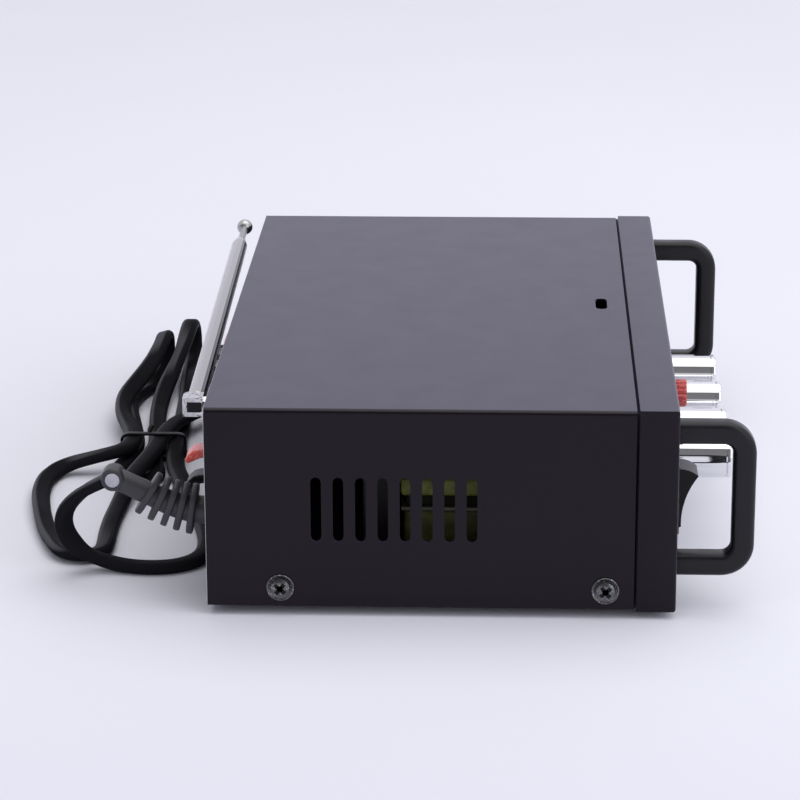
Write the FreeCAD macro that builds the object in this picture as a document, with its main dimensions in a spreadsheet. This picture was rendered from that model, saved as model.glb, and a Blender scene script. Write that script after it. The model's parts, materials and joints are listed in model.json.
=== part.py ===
"""Bluetooth amplifier: a small two-channel amplifier in a folded steel case.

Frame: the front faces -Y, +X is to the right, +Z is up, and the floor is Z = 0.
The origin is the middle of the floor under the case, handles and rear levers.
Units are millimetres. Places along the width are measured from the left side
of the case, and places behind it from the rear wall.
"""

import FreeCAD, Part
import math
import os
import re

import Sketcher
from FreeCAD import Placement, Rotation, Vector

doc = FreeCAD.newDocument("BluetoothAmplifier")
sheet = doc.addObject("Spreadsheet::Sheet", "Sizes")
known = {}
parts = {}


def size(alias, value):
    """Write one driving dimension into the sheet and give it back as a number."""
    row = len(known) + 1
    sheet.set("A%d" % row, alias)
    sheet.set("B%d" % row, "%.6g" % value)
    sheet.setAlias("B%d" % row, alias)
    known[alias] = float("%.6g" % value)
    return known[alias]


# Case
body_width = size("body_width", 230.0)
case_depth = size("case_depth", 126.0)
panel_depth = size("panel_depth", 12.45)
body_height = size("body_height", 61.2)
foot_height = size("foot_height", 3.0)
cover_gauge = size("cover_gauge", 0.8)
cover_bend = size("cover_bend", 1.6)
tray_gauge = size("tray_gauge", 1.0)
tray_gap = size("tray_gap", 0.1)
flange_tall = size("flange_tall", 11.0)
vent_count = 8
vent_first = size("vent_first", 32.5)
vent_pitch = size("vent_pitch", 6.54)
vent_wide = size("vent_wide", 3.13)
vent_tall = size("vent_tall", 20.0)
vent_middle = size("vent_middle", 33.5)
top_slot_depth = size("top_slot_depth", 118.2)
top_slot_long = size("top_slot_long", 12.5)
top_slot_wide = size("top_slot_wide", 3.75)
side_screw_rear = size("side_screw_rear", 21.7)
side_screw_front = size("side_screw_front", 117.65)
side_screw_high = size("side_screw_high", 9.0)

# Front
panel_proud = size("panel_proud", 0.4)
panel_drop = size("panel_drop", 0.7)
panel_wall = size("panel_wall", 3.4)
plate_gauge = size("plate_gauge", 1.0)
plate_margin = size("plate_margin", 3.0)
handle_reach = size("handle_reach", 23.2)
handle_place = size("handle_place", 11.5)
handle_low = size("handle_low", 10.5)
handle_tall = size("handle_tall", 48.7)
handle_bar = size("handle_bar", 6.5)
handle_wide = size("handle_wide", 7.5)
handle_corner = size("handle_corner", 9.5)
handle_edge = size("handle_edge", 1.7)
knob_first = size("knob_first", 70.75)
knob_pitch = size("knob_pitch", 29.5)
knob_high = size("knob_high", 27.0)
knob_round = size("knob_round", 13.0)
knob_gap = size("knob_gap", 1.0)
knob_long = size("knob_long", 19.2)
shaft_round = size("shaft_round", 6.0)
jack_place = size("jack_place", 70.75)
strip_high = size("strip_high", 48.0)
jack_round = size("jack_round", 5.9)
jack_bore = size("jack_bore", 3.6)
jack_reach = size("jack_reach", 5.2)
nut_round = size("nut_round", 8.6)
nut_long = size("nut_long", 4.6)
switch_place = size("switch_place", 24.0)
switch_high = size("switch_high", 31.4)
switch_wide = size("switch_wide", 15.0)
switch_tall = size("switch_tall", 21.0)
switch_rim = size("switch_rim", 1.2)
rocker_wide = size("rocker_wide", 10.4)
rocker_sweep = size("rocker_sweep", 9.18)
rocker_ridge = size("rocker_ridge", 3.7)
rocker_pivot = size("rocker_pivot", 0.9)
rocker_tilt = size("rocker_tilt", 17.0)
usb_place = size("usb_place", 99.0)
card_place = size("card_place", 126.0)
window_place = size("window_place", 157.0)
window_wide = size("window_wide", 26.0)
window_tall = size("window_tall", 13.0)
button_first = size("button_first", 179.0)
button_pitch = size("button_pitch", 9.0)
button_round = size("button_round", 5.0)

# Rear
rear_reach = size("rear_reach", 11.2)
mast_round = size("mast_round", 5.1)
mast_high = size("mast_high", 62.3)
mast_reach = size("mast_reach", 4.3)
swivel_place = size("swivel_place", 11.2)
swivel_high = size("swivel_high", 61.2)
terminal_right = size("terminal_right", 40.0)
terminal_left = size("terminal_left", 166.0)
terminal_high = size("terminal_high", 33.0)
lever_black = size("lever_black", 28.6)
lever_red = size("lever_red", 36.8)
line_in_place = size("line_in_place", 134.0)
dc_place = size("dc_place", 192.0)
relief_place = size("relief_place", 20.0)
relief_high = size("relief_high", 25.8)
cord_wide = size("cord_wide", 6.2)
cord_thick = size("cord_thick", 3.6)
arc_step = size("arc_step", 0.5)

# The depth from handle fronts to the rear levers is centred on the origin.
rear_y = size("rear_y", (case_depth + panel_depth + handle_reach - rear_reach) / 2.0)
seam_y = size("seam_y", rear_y - case_depth)
front_y = size("front_y", seam_y - panel_depth)
left_x = size("left_x", -body_width / 2.0)
case_top = size("case_top", foot_height + body_height)


def formula(text):
    """Turn the sheet's words inside a text into references to its cells."""
    return re.sub(r"[a-z][a-z_]*", lambda word: "Sizes." * (word.group() in known) + word.group(), text)


def bind(item, **sizes):
    for name, text in sizes.items():
        item.setExpression(name, formula(str(text)))
    return item


def put(item, x, y, z, turn=None):
    """Place a feature by three texts worked out from the sheet."""
    if turn is not None:
        item.Placement = Placement(Vector(), turn)
    for axis, text in zip("xyz", (x, y, z)):
        item.setExpression("Placement.Base." + axis, formula(str(text)))
    return item


def node(item, label):
    """Give a feature its own label: it is one of the sub-parts."""
    item.Label = label
    parts[label] = item
    return item


def block(name, x, y, z, across, deep, tall):
    item = doc.addObject("Part::Box", name)
    bind(item, Length=across, Width=deep, Height=tall)
    return put(item, x, y, z)


ALONG_X = Rotation(Vector(0, 1, 0), 90)
TO_FRONT = Rotation(Vector(1, 0, 0), 90)
TO_REAR = Rotation(Vector(1, 0, 0), -90)


def rod(name, x, y, z, radius, length, turn=None):
    """A cylinder from a point along +Z, or along the way that turn gives."""
    item = doc.addObject("Part::Cylinder", name)
    bind(item, Radius=radius, Height=length)
    return put(item, x, y, z, turn)


def prism(name, x, y, z, flats, length, sides=6, turn=None):
    """A bar with a few flats: a plain stand for what is hidden or repeats."""
    item = doc.addObject("Part::Prism", name)
    item.Polygon = sides
    bind(item, Circumradius="(%s) / %.8f" % (flats, 2.0 * math.cos(math.pi / sides)), Height=length)
    return put(item, x, y, z, turn)


def fused(name, *items):
    item = doc.addObject("Part::MultiFuse", name)
    item.Shapes = list(items)
    return item


def without(name, base, *tools):
    item = doc.addObject("Part::Cut", name)
    item.Base = base
    item.Tool = tools[0] if len(tools) == 1 else fused(name + "Tools", *tools)
    return item


def group(name, *items):
    """Several separate solids that share one node."""
    item = doc.addObject("Part::Compound", name)
    item.Links = list(items)
    return item


def feature(label, shape, spot=None):
    """A sub-part whose form only the shape functions can make."""
    item = doc.addObject("Part::Feature", label.title().replace("_", ""))
    item.Shape = shape
    item.Placement = spot or Placement()
    return node(item, label)


def new_body(label):
    item = doc.addObject("PartDesign::Body", label.title().replace("_", ""))
    return node(item, label)


def origin_of(body, role):
    return next(item for item in body.Origin.OriginFeatures if item.Role == role)


def sketch_on(body, role, name, lift="0"):
    """A sketch on one of the body's own planes, lifted along the plane's normal."""
    item = body.newObject("Sketcher::SketchObject", name)
    item.AttachmentSupport = [(origin_of(body, role), "")]
    item.MapMode = "FlatFace"
    item.setExpression("AttachmentOffset.Base.z", formula(lift))
    return item


def measure(item, kind, where, text):
    number = item.addConstraint(Sketcher.Constraint(kind, *where, 1.0))
    item.setExpression("Constraints[%d]" % number, formula(str(text)))


def rectangle(item, left, low, wide, tall):
    """A rectangle whose place and size follow four texts from the sheet."""
    first = item.GeometryCount
    corners = [Vector(0, 0, 0), Vector(1, 0, 0), Vector(1, 1, 0), Vector(0, 1, 0)]
    for start, end in zip(corners, corners[1:] + corners[:1]):
        item.addGeometry(Part.LineSegment(start, end), False)
    for side in range(4):
        item.addConstraint(Sketcher.Constraint("Coincident", first + side, 2, first + (side + 1) % 4, 1))
        item.addConstraint(Sketcher.Constraint(("Horizontal", "Vertical")[side % 2], first + side))
    measure(item, "DistanceX", (-1, 1, first, 1), left)
    measure(item, "DistanceY", (-1, 1, first, 1), low)
    measure(item, "DistanceX", (first, 1, first, 2), wide)
    measure(item, "DistanceY", (first + 1, 1, first + 1, 2), tall)


def circle(item, across, up, diameter):
    first = item.GeometryCount
    item.addGeometry(Part.Circle(Vector(0, 0, 0), Vector(0, 0, 1), 1.0), False)
    measure(item, "DistanceX", (-1, 1, first, 3), across)
    measure(item, "DistanceY", (-1, 1, first, 3), up)
    measure(item, "Diameter", (first,), diameter)


def corner(before, here, after, radius):
    """Start, middle point and stop of the arc that rounds a corner, and its centre."""
    back = (before - here).normalize()
    on = (after - here).normalize()
    half = back.getAngle(on) / 2.0
    inward = (back + on).normalize()
    start = here + back * (radius / math.tan(half))
    stop = here + on * (radius / math.tan(half))
    centre = here + inward * (radius / math.sin(half))
    return start, centre - inward * radius, stop, centre


def outline(item, points, flats=0):
    """A closed outline of lines: a third value rounds a point, by an arc or by a number of flats."""
    count = len(points)
    ends = []
    for index in range(count):
        here = Vector(*points[index][:2], 0)
        if len(points[index]) < 3:
            ends.append((here, None, here, None))
            continue
        before = Vector(*points[index - 1][:2], 0)
        after = Vector(*points[(index + 1) % count][:2], 0)
        ends.append(corner(before, here, after, points[index][2]))
    pieces = []
    for index in range(count):
        start, middle, stop, centre = ends[index]
        if middle is not None and flats:
            swing = (start - centre).getAngle(stop - centre)
            axis = (start - centre).cross(stop - centre)
            turns = [Rotation(axis, math.degrees(swing * step / flats)) for step in range(flats + 1)]
            round_points = [centre + turn.multVec(start - centre) for turn in turns]
            pieces += [Part.LineSegment(a, b) for a, b in zip(round_points, round_points[1:])]
        elif middle is not None:
            pieces.append(Part.Arc(start, middle, stop))
        following = ends[(index + 1) % count][0]
        if stop.distanceToPoint(following) > 1e-6:
            pieces.append(Part.LineSegment(stop, following))
    for piece in pieces:
        item.addGeometry(piece, False)


def many_sided(item, across, up, flats, sides=8):
    """A closed ring of flats, for holes that a head or a flange covers."""
    reach = flats / 2.0 / math.cos(math.pi / sides)
    turns = [math.tau * side / sides for side in range(sides)]
    outline(item, [(across + reach * math.cos(turn), up + reach * math.sin(turn)) for turn in turns])


def slot(item, across, up, wide, tall):
    """A slot whose ends are rounded by a few flats."""
    left = across - wide / 2.0
    low = up - tall / 2.0
    radius = 0.499 * min(wide, tall)
    outline(item, [(left, low, radius), (left + wide, low, radius), (left + wide, low + tall, radius),
                   (left, low + tall, radius)], 2)


def pad(body, sketch, length, name, both_ways=False, turned=False):
    item = body.newObject("PartDesign::Pad", name)
    item.Profile = sketch
    item.setExpression("Length", formula(str(length)))
    item.Midplane = both_ways
    item.Reversed = turned
    return item


def pocket(body, sketch, length, name, both_ways=False, turned=False):
    """A pocket of a given depth, or right through where the length is None."""
    item = body.newObject("PartDesign::Pocket", name)
    item.Profile = sketch
    item.Midplane = both_ways
    item.Reversed = turned
    if length is None:
        item.Type = 1
    else:
        item.setExpression("Length", formula(str(length)))
    return item


def revolve(body, sketch, role, name):
    item = body.newObject("PartDesign::Revolution", name)
    item.Profile = sketch
    item.ReferenceAxis = (origin_of(body, role), [""])
    item.Angle = 360.0
    return item


def row_of(body, source, role, gap, count, name):
    """Repeat a feature along one of the body's axes, away from the rear."""
    item = body.newObject("PartDesign::LinearPattern", name)
    item.Originals = [source]
    item.Direction = (origin_of(body, role), [""])
    item.Reversed = True
    item.Length = gap * (count - 1)
    item.Occurrences = count
    body.Tip = item
    return item


def ring_of(body, source, role, count, name):
    item = body.newObject("PartDesign::PolarPattern", name)
    item.Originals = [source]
    item.Axis = (origin_of(body, role), [""])
    item.Angle = 360.0
    item.Occurrences = count
    body.Tip = item
    return item


def rounded(body, base, names, radius, name):
    item = body.newObject("PartDesign::Fillet", name)
    item.Base = (base, names)
    item.Radius = radius
    return item


def chamfered(body, base, names, depth, name):
    item = body.newObject("PartDesign::Chamfer", name)
    item.Base = (base, names)
    item.Size = depth
    return item


def edges_where(shape, test):
    """The names of the edges that a test on their two ends picks."""
    picked = []
    for index, edge in enumerate(shape.Edges):
        ends = [vertex.Point for vertex in edge.Vertexes]
        if len(ends) == 2 and test(ends[0], ends[1]):
            picked.append("Edge%d" % (index + 1))
    return picked


# The folded cover: top and both sides in one sheet


def make_cover():
    body = new_body("top_cover")
    half = body_width / 2.0
    inner = half - cover_gauge
    profile = sketch_on(body, "XZ_Plane", "CoverProfile", "-rear_y")
    outline(profile, [(-half, foot_height + 0.2), (-inner, foot_height + 0.2),
                      (-inner, case_top - cover_gauge, cover_bend - cover_gauge),
                      (inner, case_top - cover_gauge, cover_bend - cover_gauge),
                      (inner, foot_height + 0.2), (half, foot_height + 0.2),
                      (half, case_top, cover_bend), (-half, case_top, cover_bend)])
    pad(body, profile, "case_depth", "CoverSheet")
    vent = sketch_on(body, "YZ_Plane", "Vent")
    slot(vent, rear_y - vent_first, vent_middle, vent_wide, vent_tall)
    first = pocket(body, vent, None, "FirstVent", both_ways=True)
    row_of(body, first, "Y_Axis", vent_pitch, vent_count, "Vents")
    screws = sketch_on(body, "YZ_Plane", "CoverScrewHoles")
    for depth in (side_screw_rear, side_screw_front):
        many_sided(screws, rear_y - depth, side_screw_high, 3.4)
    pocket(body, screws, None, "CoverScrews", both_ways=True)
    top = sketch_on(body, "XY_Plane", "TopSlot", "case_top + 1")
    slot(top, 0.0, rear_y - top_slot_depth, top_slot_long, top_slot_wide)
    body.Tip = pocket(body, top, 4, "TopSlotCut")


# The tray: bottom, rear wall, front lip and side flanges


def make_tray():
    body = new_body("chassis")
    half = "(body_width / 2 - cover_gauge - tray_gap)"
    high = "(case_top - cover_gauge - 4 * tray_gap)"
    floor = sketch_on(body, "XY_Plane", "TrayFloor", "foot_height")
    rectangle(floor, "-" + half, "seam_y + 0.2", "2 * " + half, "case_depth - 0.5")
    pad(body, floor, "tray_gauge", "TrayFloorSheet")
    rear = sketch_on(body, "XZ_Plane", "RearWall", "-(rear_y - 0.3)")
    rectangle(rear, "0.3 - " + half, "foot_height", "2 * %s - 0.6" % half, high + " - foot_height")
    pad(body, rear, "tray_gauge", "RearWallSheet")
    lip = sketch_on(body, "XZ_Plane", "FrontLip", "-(seam_y + 0.2 + tray_gauge)")
    rectangle(lip, "-" + half, "foot_height", "2 * " + half, "flange_tall / 2")
    pad(body, lip, "tray_gauge", "FrontLipSheet")
    sides = sketch_on(body, "XY_Plane", "SideFlanges", "foot_height")
    rectangle(sides, "-" + half, "seam_y + 0.2", "tray_gauge", "case_depth - 0.5")
    rectangle(sides, half + " - tray_gauge", "seam_y + 0.2", "tray_gauge", "case_depth - 0.5")
    pad(body, sides, "flange_tall", "SideFlangeSheets")
    screws = sketch_on(body, "YZ_Plane", "FlangeScrewHoles")
    for depth in (side_screw_rear, side_screw_front):
        many_sided(screws, rear_y - depth, side_screw_high, 3.1)
    pocket(body, screws, None, "FlangeScrews", both_ways=True)
    openings = sketch_on(body, "XZ_Plane", "RearOpenings", "-(rear_y + 1)")
    for place in ("terminal_right", "terminal_left"):
        rectangle(openings, "left_x + %s - 6.2" % place, "terminal_high - 11.2", "12.4", "22.4")
    for side in (-1, 1):
        many_sided(openings, left_x + line_in_place + 7.0 * side, 36.0, 8.8)
    many_sided(openings, left_x + dc_place, 34.0, 8.6)
    many_sided(openings, left_x + swivel_place, swivel_high, 3.2)
    rectangle(openings, "left_x + relief_place - 4.2", "relief_high - 5.2", "8.4", "10.4")
    pocket(body, openings, 4, "RearOpeningCuts", turned=True)
    posts = sketch_on(body, "XY_Plane", "BoardPosts", "foot_height + tray_gauge")
    for x in (-12, 92):
        for y in (-34, 42):
            rectangle(posts, x - 3, y - 3, 6, 6)
    body.Tip = pad(body, posts, 5, "BoardPostPads")


def make_feet():
    """Four pads under the tray."""
    feet = []
    for index, (x, y) in enumerate(((-97, -44), (97, -44), (-97, 60), (97, 60))):
        feet.append(prism("Foot%d" % index, x, y, 0, 12, "foot_height", 8))
    node(group("RubberFeet", *feet), "rubber_feet")


def flanged_screw(name):
    """A pan head screw along +Z, with its flange."""
    flange = prism(name + "Flange", 0, 0, 0, 8.1, 0.5, 16)
    head = prism(name + "Head", 0, 0, 0.5, 5.2, 1.1, 12)
    stem = prism(name + "Stem", 0, 0, -5, 2.9, 5, 8)
    return fused(name, flange, head, stem)


def make_side_screws():
    screws = []
    for side in (-1, 1):
        for index, depth in enumerate((side_screw_rear, side_screw_front)):
            name = "SideScrew%s%d" % ("Left" if side < 0 else "Right", index)
            screw = flanged_screw(name)
            screw.Placement = Placement(Vector(side * body_width / 2.0, rear_y - depth, side_screw_high),
                                        Rotation(Vector(0, 0, 1), Vector(side, 0, 0)))
            screws.append(screw)
    node(group("SideScrews", *screws), "side_screws")


# The front panel, its face plate and what they hold


def panel_openings(item):
    """Every hole of the front, through the panel and its face plate."""
    rectangle(item, "left_x + switch_place - 6.6", "switch_high - 9.8", 13.2, 19.6)
    for index in range(4):
        many_sided(item, left_x + knob_first + index * knob_pitch, knob_high, 7.3)
        many_sided(item, left_x + button_first + index * button_pitch, strip_high, button_round + 0.4, 12)
    many_sided(item, left_x + jack_place, strip_high, jack_round + 0.6, 12)
    rectangle(item, "left_x + usb_place - 7", "strip_high - 3.4", 14, 6.8)
    rectangle(item, "left_x + card_place - 13", "strip_high - 1.7", 26, 3.4)
    rectangle(item, "left_x + window_place - window_wide / 2 - 0.05", "strip_high - window_tall / 2 - 0.05",
              "window_wide + 0.1", "window_tall + 0.1")
    for place in (handle_place, body_width - handle_place):
        for high in (handle_low + handle_bar / 2.0, handle_low + handle_tall - handle_bar / 2.0):
            many_sided(item, left_x + place, high, 4.2, 6)


def make_panel():
    body = new_body("front_panel")
    profile = sketch_on(body, "XZ_Plane", "PanelOutline", "-seam_y")
    tall = "body_height + panel_drop + panel_proud"
    rectangle(profile, "left_x", "foot_height - panel_drop", "body_width", tall)
    block_pad = pad(body, profile, "panel_depth", "PanelBlock")
    doc.recompute()
    front = edges_where(block_pad.Shape, lambda a, b: max(a.y, b.y) < front_y + 0.01)
    rounded(body, block_pad, front, 0.9, "PanelEdges")
    hollow = sketch_on(body, "XZ_Plane", "PanelHollow", "-seam_y")
    rectangle(hollow, "left_x + 2.6", "foot_height - panel_drop + 2.4", "body_width - 5.2", tall + " - 4.8")
    pocket(body, hollow, "panel_depth - panel_wall", "PanelHollowCut", turned=True)
    recess = sketch_on(body, "XZ_Plane", "PlateRecess", "-front_y")
    rectangle(recess, "left_x + plate_margin", "foot_height - panel_drop + plate_margin",
              "body_width - 2 * plate_margin", tall + " - 2 * plate_margin")
    pocket(body, recess, "plate_gauge", "PlateRecessCut")
    holes = sketch_on(body, "XZ_Plane", "PanelHoles", "-(front_y - 1)")
    panel_openings(holes)
    body.Tip = pocket(body, holes, "panel_wall + 2", "PanelHoleCuts")


def make_plate():
    body = new_body("face_plate")
    profile = sketch_on(body, "XZ_Plane", "PlateOutline", "-(front_y + plate_gauge)")
    tall = "body_height + panel_drop + panel_proud - 2 * plate_margin - 0.2"
    rectangle(profile, "left_x + plate_margin + 0.1", "foot_height - panel_drop + plate_margin + 0.1",
              "body_width - 2 * plate_margin - 0.2", tall)
    pad(body, profile, "plate_gauge", "PlateSheet")
    holes = sketch_on(body, "XZ_Plane", "PlateHoles", "-(front_y - 1)")
    panel_openings(holes)
    body.Tip = pocket(body, holes, 4, "PlateHoleCuts")


def make_handle(label, place):
    """A square U with rounded corners, screwed on from inside the panel."""
    body = new_body(label)
    back = front_y
    tip = front_y - handle_reach
    low = handle_low
    high = handle_low + handle_tall
    inner = handle_corner - handle_bar + 1.4
    profile = sketch_on(body, "YZ_Plane", label + "_outline")
    outline(profile, [(back, low), (tip, low, handle_corner), (tip, high, handle_corner), (back, high),
                      (back, high - handle_bar), (tip + handle_bar, high - handle_bar, inner),
                      (tip + handle_bar, low + handle_bar, inner), (back, low + handle_bar)], 6)
    bar = pad(body, profile, "handle_wide", label + "_bar", both_ways=True)
    doc.recompute()
    long_edges = edges_where(bar.Shape, lambda a, b: abs(a.x - b.x) < 0.01 and min(a.y, b.y) < back - 0.01
                             and abs(abs(a.x) - handle_wide / 2.0) < 0.01)
    chamfered(body, bar, long_edges, handle_edge, label + "_edges")
    bores = sketch_on(body, "XZ_Plane", label + "_bores", "-front_y")
    for height in (handle_low + handle_bar / 2.0, handle_low + handle_tall - handle_bar / 2.0):
        many_sided(bores, 0.0, height, 3.5, 6)
    body.Tip = pocket(body, bores, 11, label + "_bore_cuts", turned=True)
    put(body, place, 0, 0)


def make_handle_screws():
    screws = []
    wall = front_y + panel_wall
    heights = (handle_low + handle_bar / 2.0, handle_low + handle_tall - handle_bar / 2.0)
    for side, place in enumerate((left_x + handle_place, -left_x - handle_place)):
        for end, high in enumerate(heights):
            name = "HandleScrew%d%d" % (side, end)
            head = prism(name + "Head", place, wall, high, 6.4, 2.2, 6, TO_REAR)
            stem = prism(name + "Stem", place, wall, high, 3.2, panel_wall + 9.5, 6, TO_FRONT)
            screws.append(fused(name, head, stem))
    node(group("HandleScrews", *screws), "handle_screws")


def make_switch():
    """Bezel and box of the power switch, with a bore for the rocker's pins."""
    x = "left_x + switch_place"
    rim = block("SwitchRim", x + " - switch_wide / 2", "front_y - switch_rim",
                "switch_high - switch_tall / 2", "switch_wide", "switch_rim", "switch_tall")
    box = block("SwitchBox", x + " - 6.5", "front_y", "switch_high - 9.7", 13, 14, 19.4)
    solid = fused("SwitchSolid", rim, box)
    cavity = block("SwitchCavity", x + " - rocker_wide / 2 - 0.2", "front_y - switch_rim - 1",
                   "switch_high - rocker_sweep - 0.2", "rocker_wide + 0.4", "switch_rim + 11",
                   "2 * rocker_sweep + 0.4")
    bore = prism("SwitchBore", x + " - rocker_wide / 2 - 1.1", "front_y - rocker_pivot", "switch_high",
                 1.7, "rocker_wide + 2.2", 8, ALONG_X)
    tags = []
    for index, high in enumerate((-6.0, 0.0, 6.0)):
        tags.append(block("SwitchTag%d" % index, x + " - 2.4", "front_y + 13",
                          "switch_high + %s - 0.4" % high, 4.8, 8, 0.8))
    shell = without("SwitchBody", solid, cavity, bore)
    node(fused("PowerSwitchHousing", shell, *tags), "power_switch_housing")


def make_rocker():
    """The paddle: a hollowed face between two ridges, tilted with its top end out."""
    body = new_body("power_rocker")
    profile = sketch_on(body, "YZ_Plane", "RockerProfile")
    ridge = math.asin(rocker_ridge / rocker_sweep)
    skirt = math.radians(20.0)
    top = Vector(-rocker_ridge, rocker_sweep * math.cos(ridge), 0)
    low = Vector(-rocker_ridge, -rocker_sweep * math.cos(ridge), 0)
    inside_top = Vector(rocker_sweep * math.sin(skirt), rocker_sweep * math.cos(skirt), 0)
    inside_low = Vector(rocker_sweep * math.sin(skirt), -rocker_sweep * math.cos(skirt), 0)
    keel = Vector(5.6, 0, 0)
    profile.addGeometry(Part.Arc(low, Vector(-rocker_ridge + 1.5, 0, 0), top), False)
    profile.addGeometry(Part.Arc(top, Vector(0, rocker_sweep, 0), inside_top), False)
    profile.addGeometry(Part.LineSegment(inside_top, keel), False)
    profile.addGeometry(Part.LineSegment(keel, inside_low), False)
    profile.addGeometry(Part.Arc(inside_low, Vector(0, -rocker_sweep, 0), low), False)
    pad(body, profile, "rocker_wide", "RockerBar", both_ways=True)
    pins = sketch_on(body, "YZ_Plane", "RockerPins")
    many_sided(pins, 0.0, 0.0, 1.45)
    body.Tip = pad(body, pins, "rocker_wide + 2", "RockerPinPad", both_ways=True)
    body.Placement = Placement(Vector(left_x + switch_place, front_y - rocker_pivot, switch_high),
                               Rotation(Vector(1, 0, 0), rocker_tilt))


def make_knob(label, place):
    """A plated knob: smooth drum, drawn-in end edge, a pointer cut and a fluted bore."""
    body = new_body(label)
    radius = knob_round / 2.0
    base = -knob_gap
    end = -(knob_gap + knob_long)
    profile = sketch_on(body, "YZ_Plane", label + "_profile")
    outline(profile, [(base, 0), (base, radius), (end + 0.8, radius), (end, radius - 0.8), (end, 0)])
    revolve(body, profile, "Y_Axis", label + "_drum")
    bore = sketch_on(body, "XZ_Plane", label + "_bore", "0")
    many_sided(bore, 0.0, 0.0, shaft_round + 0.06, 12)
    pocket(body, bore, "knob_gap + knob_long - 4.5", label + "_bore_cut", turned=True)
    pointer = sketch_on(body, "XZ_Plane", label + "_pointer", "knob_gap + knob_long")
    rectangle(pointer, -0.4, 1.5, 0.8, "knob_round / 2")
    body.Tip = pocket(body, pointer, 1.6, label + "_pointer_cut")
    put(body, "left_x + " + place, "front_y", "knob_high")


def make_control(name, index):
    """Knob, fluted shaft and potentiometer of one control."""
    place = "knob_first + %d * knob_pitch" % index
    x = "left_x + " + place
    make_knob(name + "_knob", place)
    title = name.title()
    node(prism(title + "Shaft", x, "front_y + 9", "knob_high", "shaft_round",
               "9 + knob_gap + knob_long - 5", 12, TO_FRONT), name + "_shaft")
    can = block(title + "Can", x + " - 8", "front_y + panel_wall + 0.2", "knob_high - 7.5", 16, 7.6, 15.5)
    bush = prism(title + "Bush", x, "front_y + panel_wall + 0.2", "knob_high", 7.0,
                 "panel_wall + 0.6", 8, TO_FRONT)
    hollow = prism(title + "Bore", x, "front_y + 9.3", "knob_high", "shaft_round + 0.3", 14, 12, TO_FRONT)
    tags = []
    for number, side in enumerate((-5, 0, 5)):
        tags.append(block(title + "Tag%d" % number, x + " + %d - 0.6" % side, "front_y + 8",
                          "knob_high - 11.5", 1.2, 0.8, 5))
    node(without(title + "Pot", fused(title + "PotSolid", can, bush, *tags), hollow), name + "_pot")


def make_jack():
    """Microphone jack with its long toothed ring nut."""
    x = "left_x + jack_place"
    barrel = rod("JackBarrel", x, "front_y + 4.2", "strip_high", "jack_round / 2", "jack_reach + 4.2",
                 TO_FRONT)
    case = block("JackCase", x + " - 4.5", "front_y + panel_wall + 0.2", "strip_high - 4.5", 9, 8.4, 9)
    bore = rod("JackBore", x, "front_y + 10", "strip_high", "jack_bore / 2", 20, TO_FRONT)
    node(without("MicJack", fused("JackSolid", barrel, case), bore), "mic_jack")
    body = new_body("mic_jack_nut")
    ring = sketch_on(body, "XZ_Plane", "NutRing", "0.1")
    circle(ring, 0, 0, "nut_round")
    circle(ring, 0, 0, "jack_round + 0.06")
    pad(body, ring, "nut_long", "NutRingPad")
    tooth = sketch_on(body, "XZ_Plane", "NutTooth", "-1")
    edge = nut_round / 2.0
    outline(tooth, [(-0.62, edge + 0.1), (0.0, edge - 0.62), (0.62, edge + 0.1)])
    cut = pocket(body, tooth, 10, "NutToothCut", turned=True)
    ring_of(body, cut, "Y_Axis", 12, "NutTeeth")
    put(body, x, "front_y", "strip_high")


def make_strip():
    """Display, push buttons, USB socket and card slot along the top of the front."""
    x = "left_x + window_place"
    node(block("DisplayWindow", x + " - window_wide / 2", "front_y", "strip_high - window_tall / 2",
               "window_wide", "panel_wall", "window_tall"), "display_window")
    screen = block("DisplayScreen", x + " - window_wide / 2 - 2", "front_y + panel_wall + 0.1",
                   "strip_high - window_tall / 2 - 2", "window_wide + 4", 5, "window_tall + 4")
    node(screen, "display_module")
    for index, name in enumerate(("mode", "previous", "play", "next")):
        place = "left_x + button_first + %d * button_pitch" % index
        title = name.title()
        cap = prism(title + "Cap", place, "front_y + 2.2", "strip_high", "button_round", 3.6, 12, TO_FRONT)
        flange = block(title + "Flange", place + " - 3.4", "front_y + panel_wall + 0.2",
                       "strip_high - 3.4", 6.8, 1.4, 6.8)
        stem = prism(title + "Stem", place, "front_y + 8", "strip_high", "button_round - 0.6", 8, 6,
                     TO_FRONT)
        node(fused(title + "ButtonSolid", cap, flange, stem), name + "_button")
    usb = "left_x + usb_place"
    shell = block("UsbShell", usb + " - 6.9", "front_y - 0.2", "strip_high - 3.3", 13.8, 12.4, 6.6)
    mouth = block("UsbMouth", usb + " - 6.4", "front_y - 1", "strip_high - 2.8", 12.8, 12, 5.6)
    tongue = block("UsbTongue", usb + " - 5.6", "front_y + 3", "strip_high + 1.5", 11.2, 9, 1.3)
    node(fused("UsbSocket", without("UsbCan", shell, mouth), tongue), "usb_socket")
    card = "left_x + card_place"
    frame = block("CardFrame", card + " - 12.9", "front_y - 0.1", "strip_high - 1.6", 25.8, 12, 3.2)
    gap = block("CardGap", card + " - 12.2", "front_y - 1", "strip_high - 1.1", 24.4, 11.5, 2.2)
    node(without("CardSlot", frame, gap), "card_slot")


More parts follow.
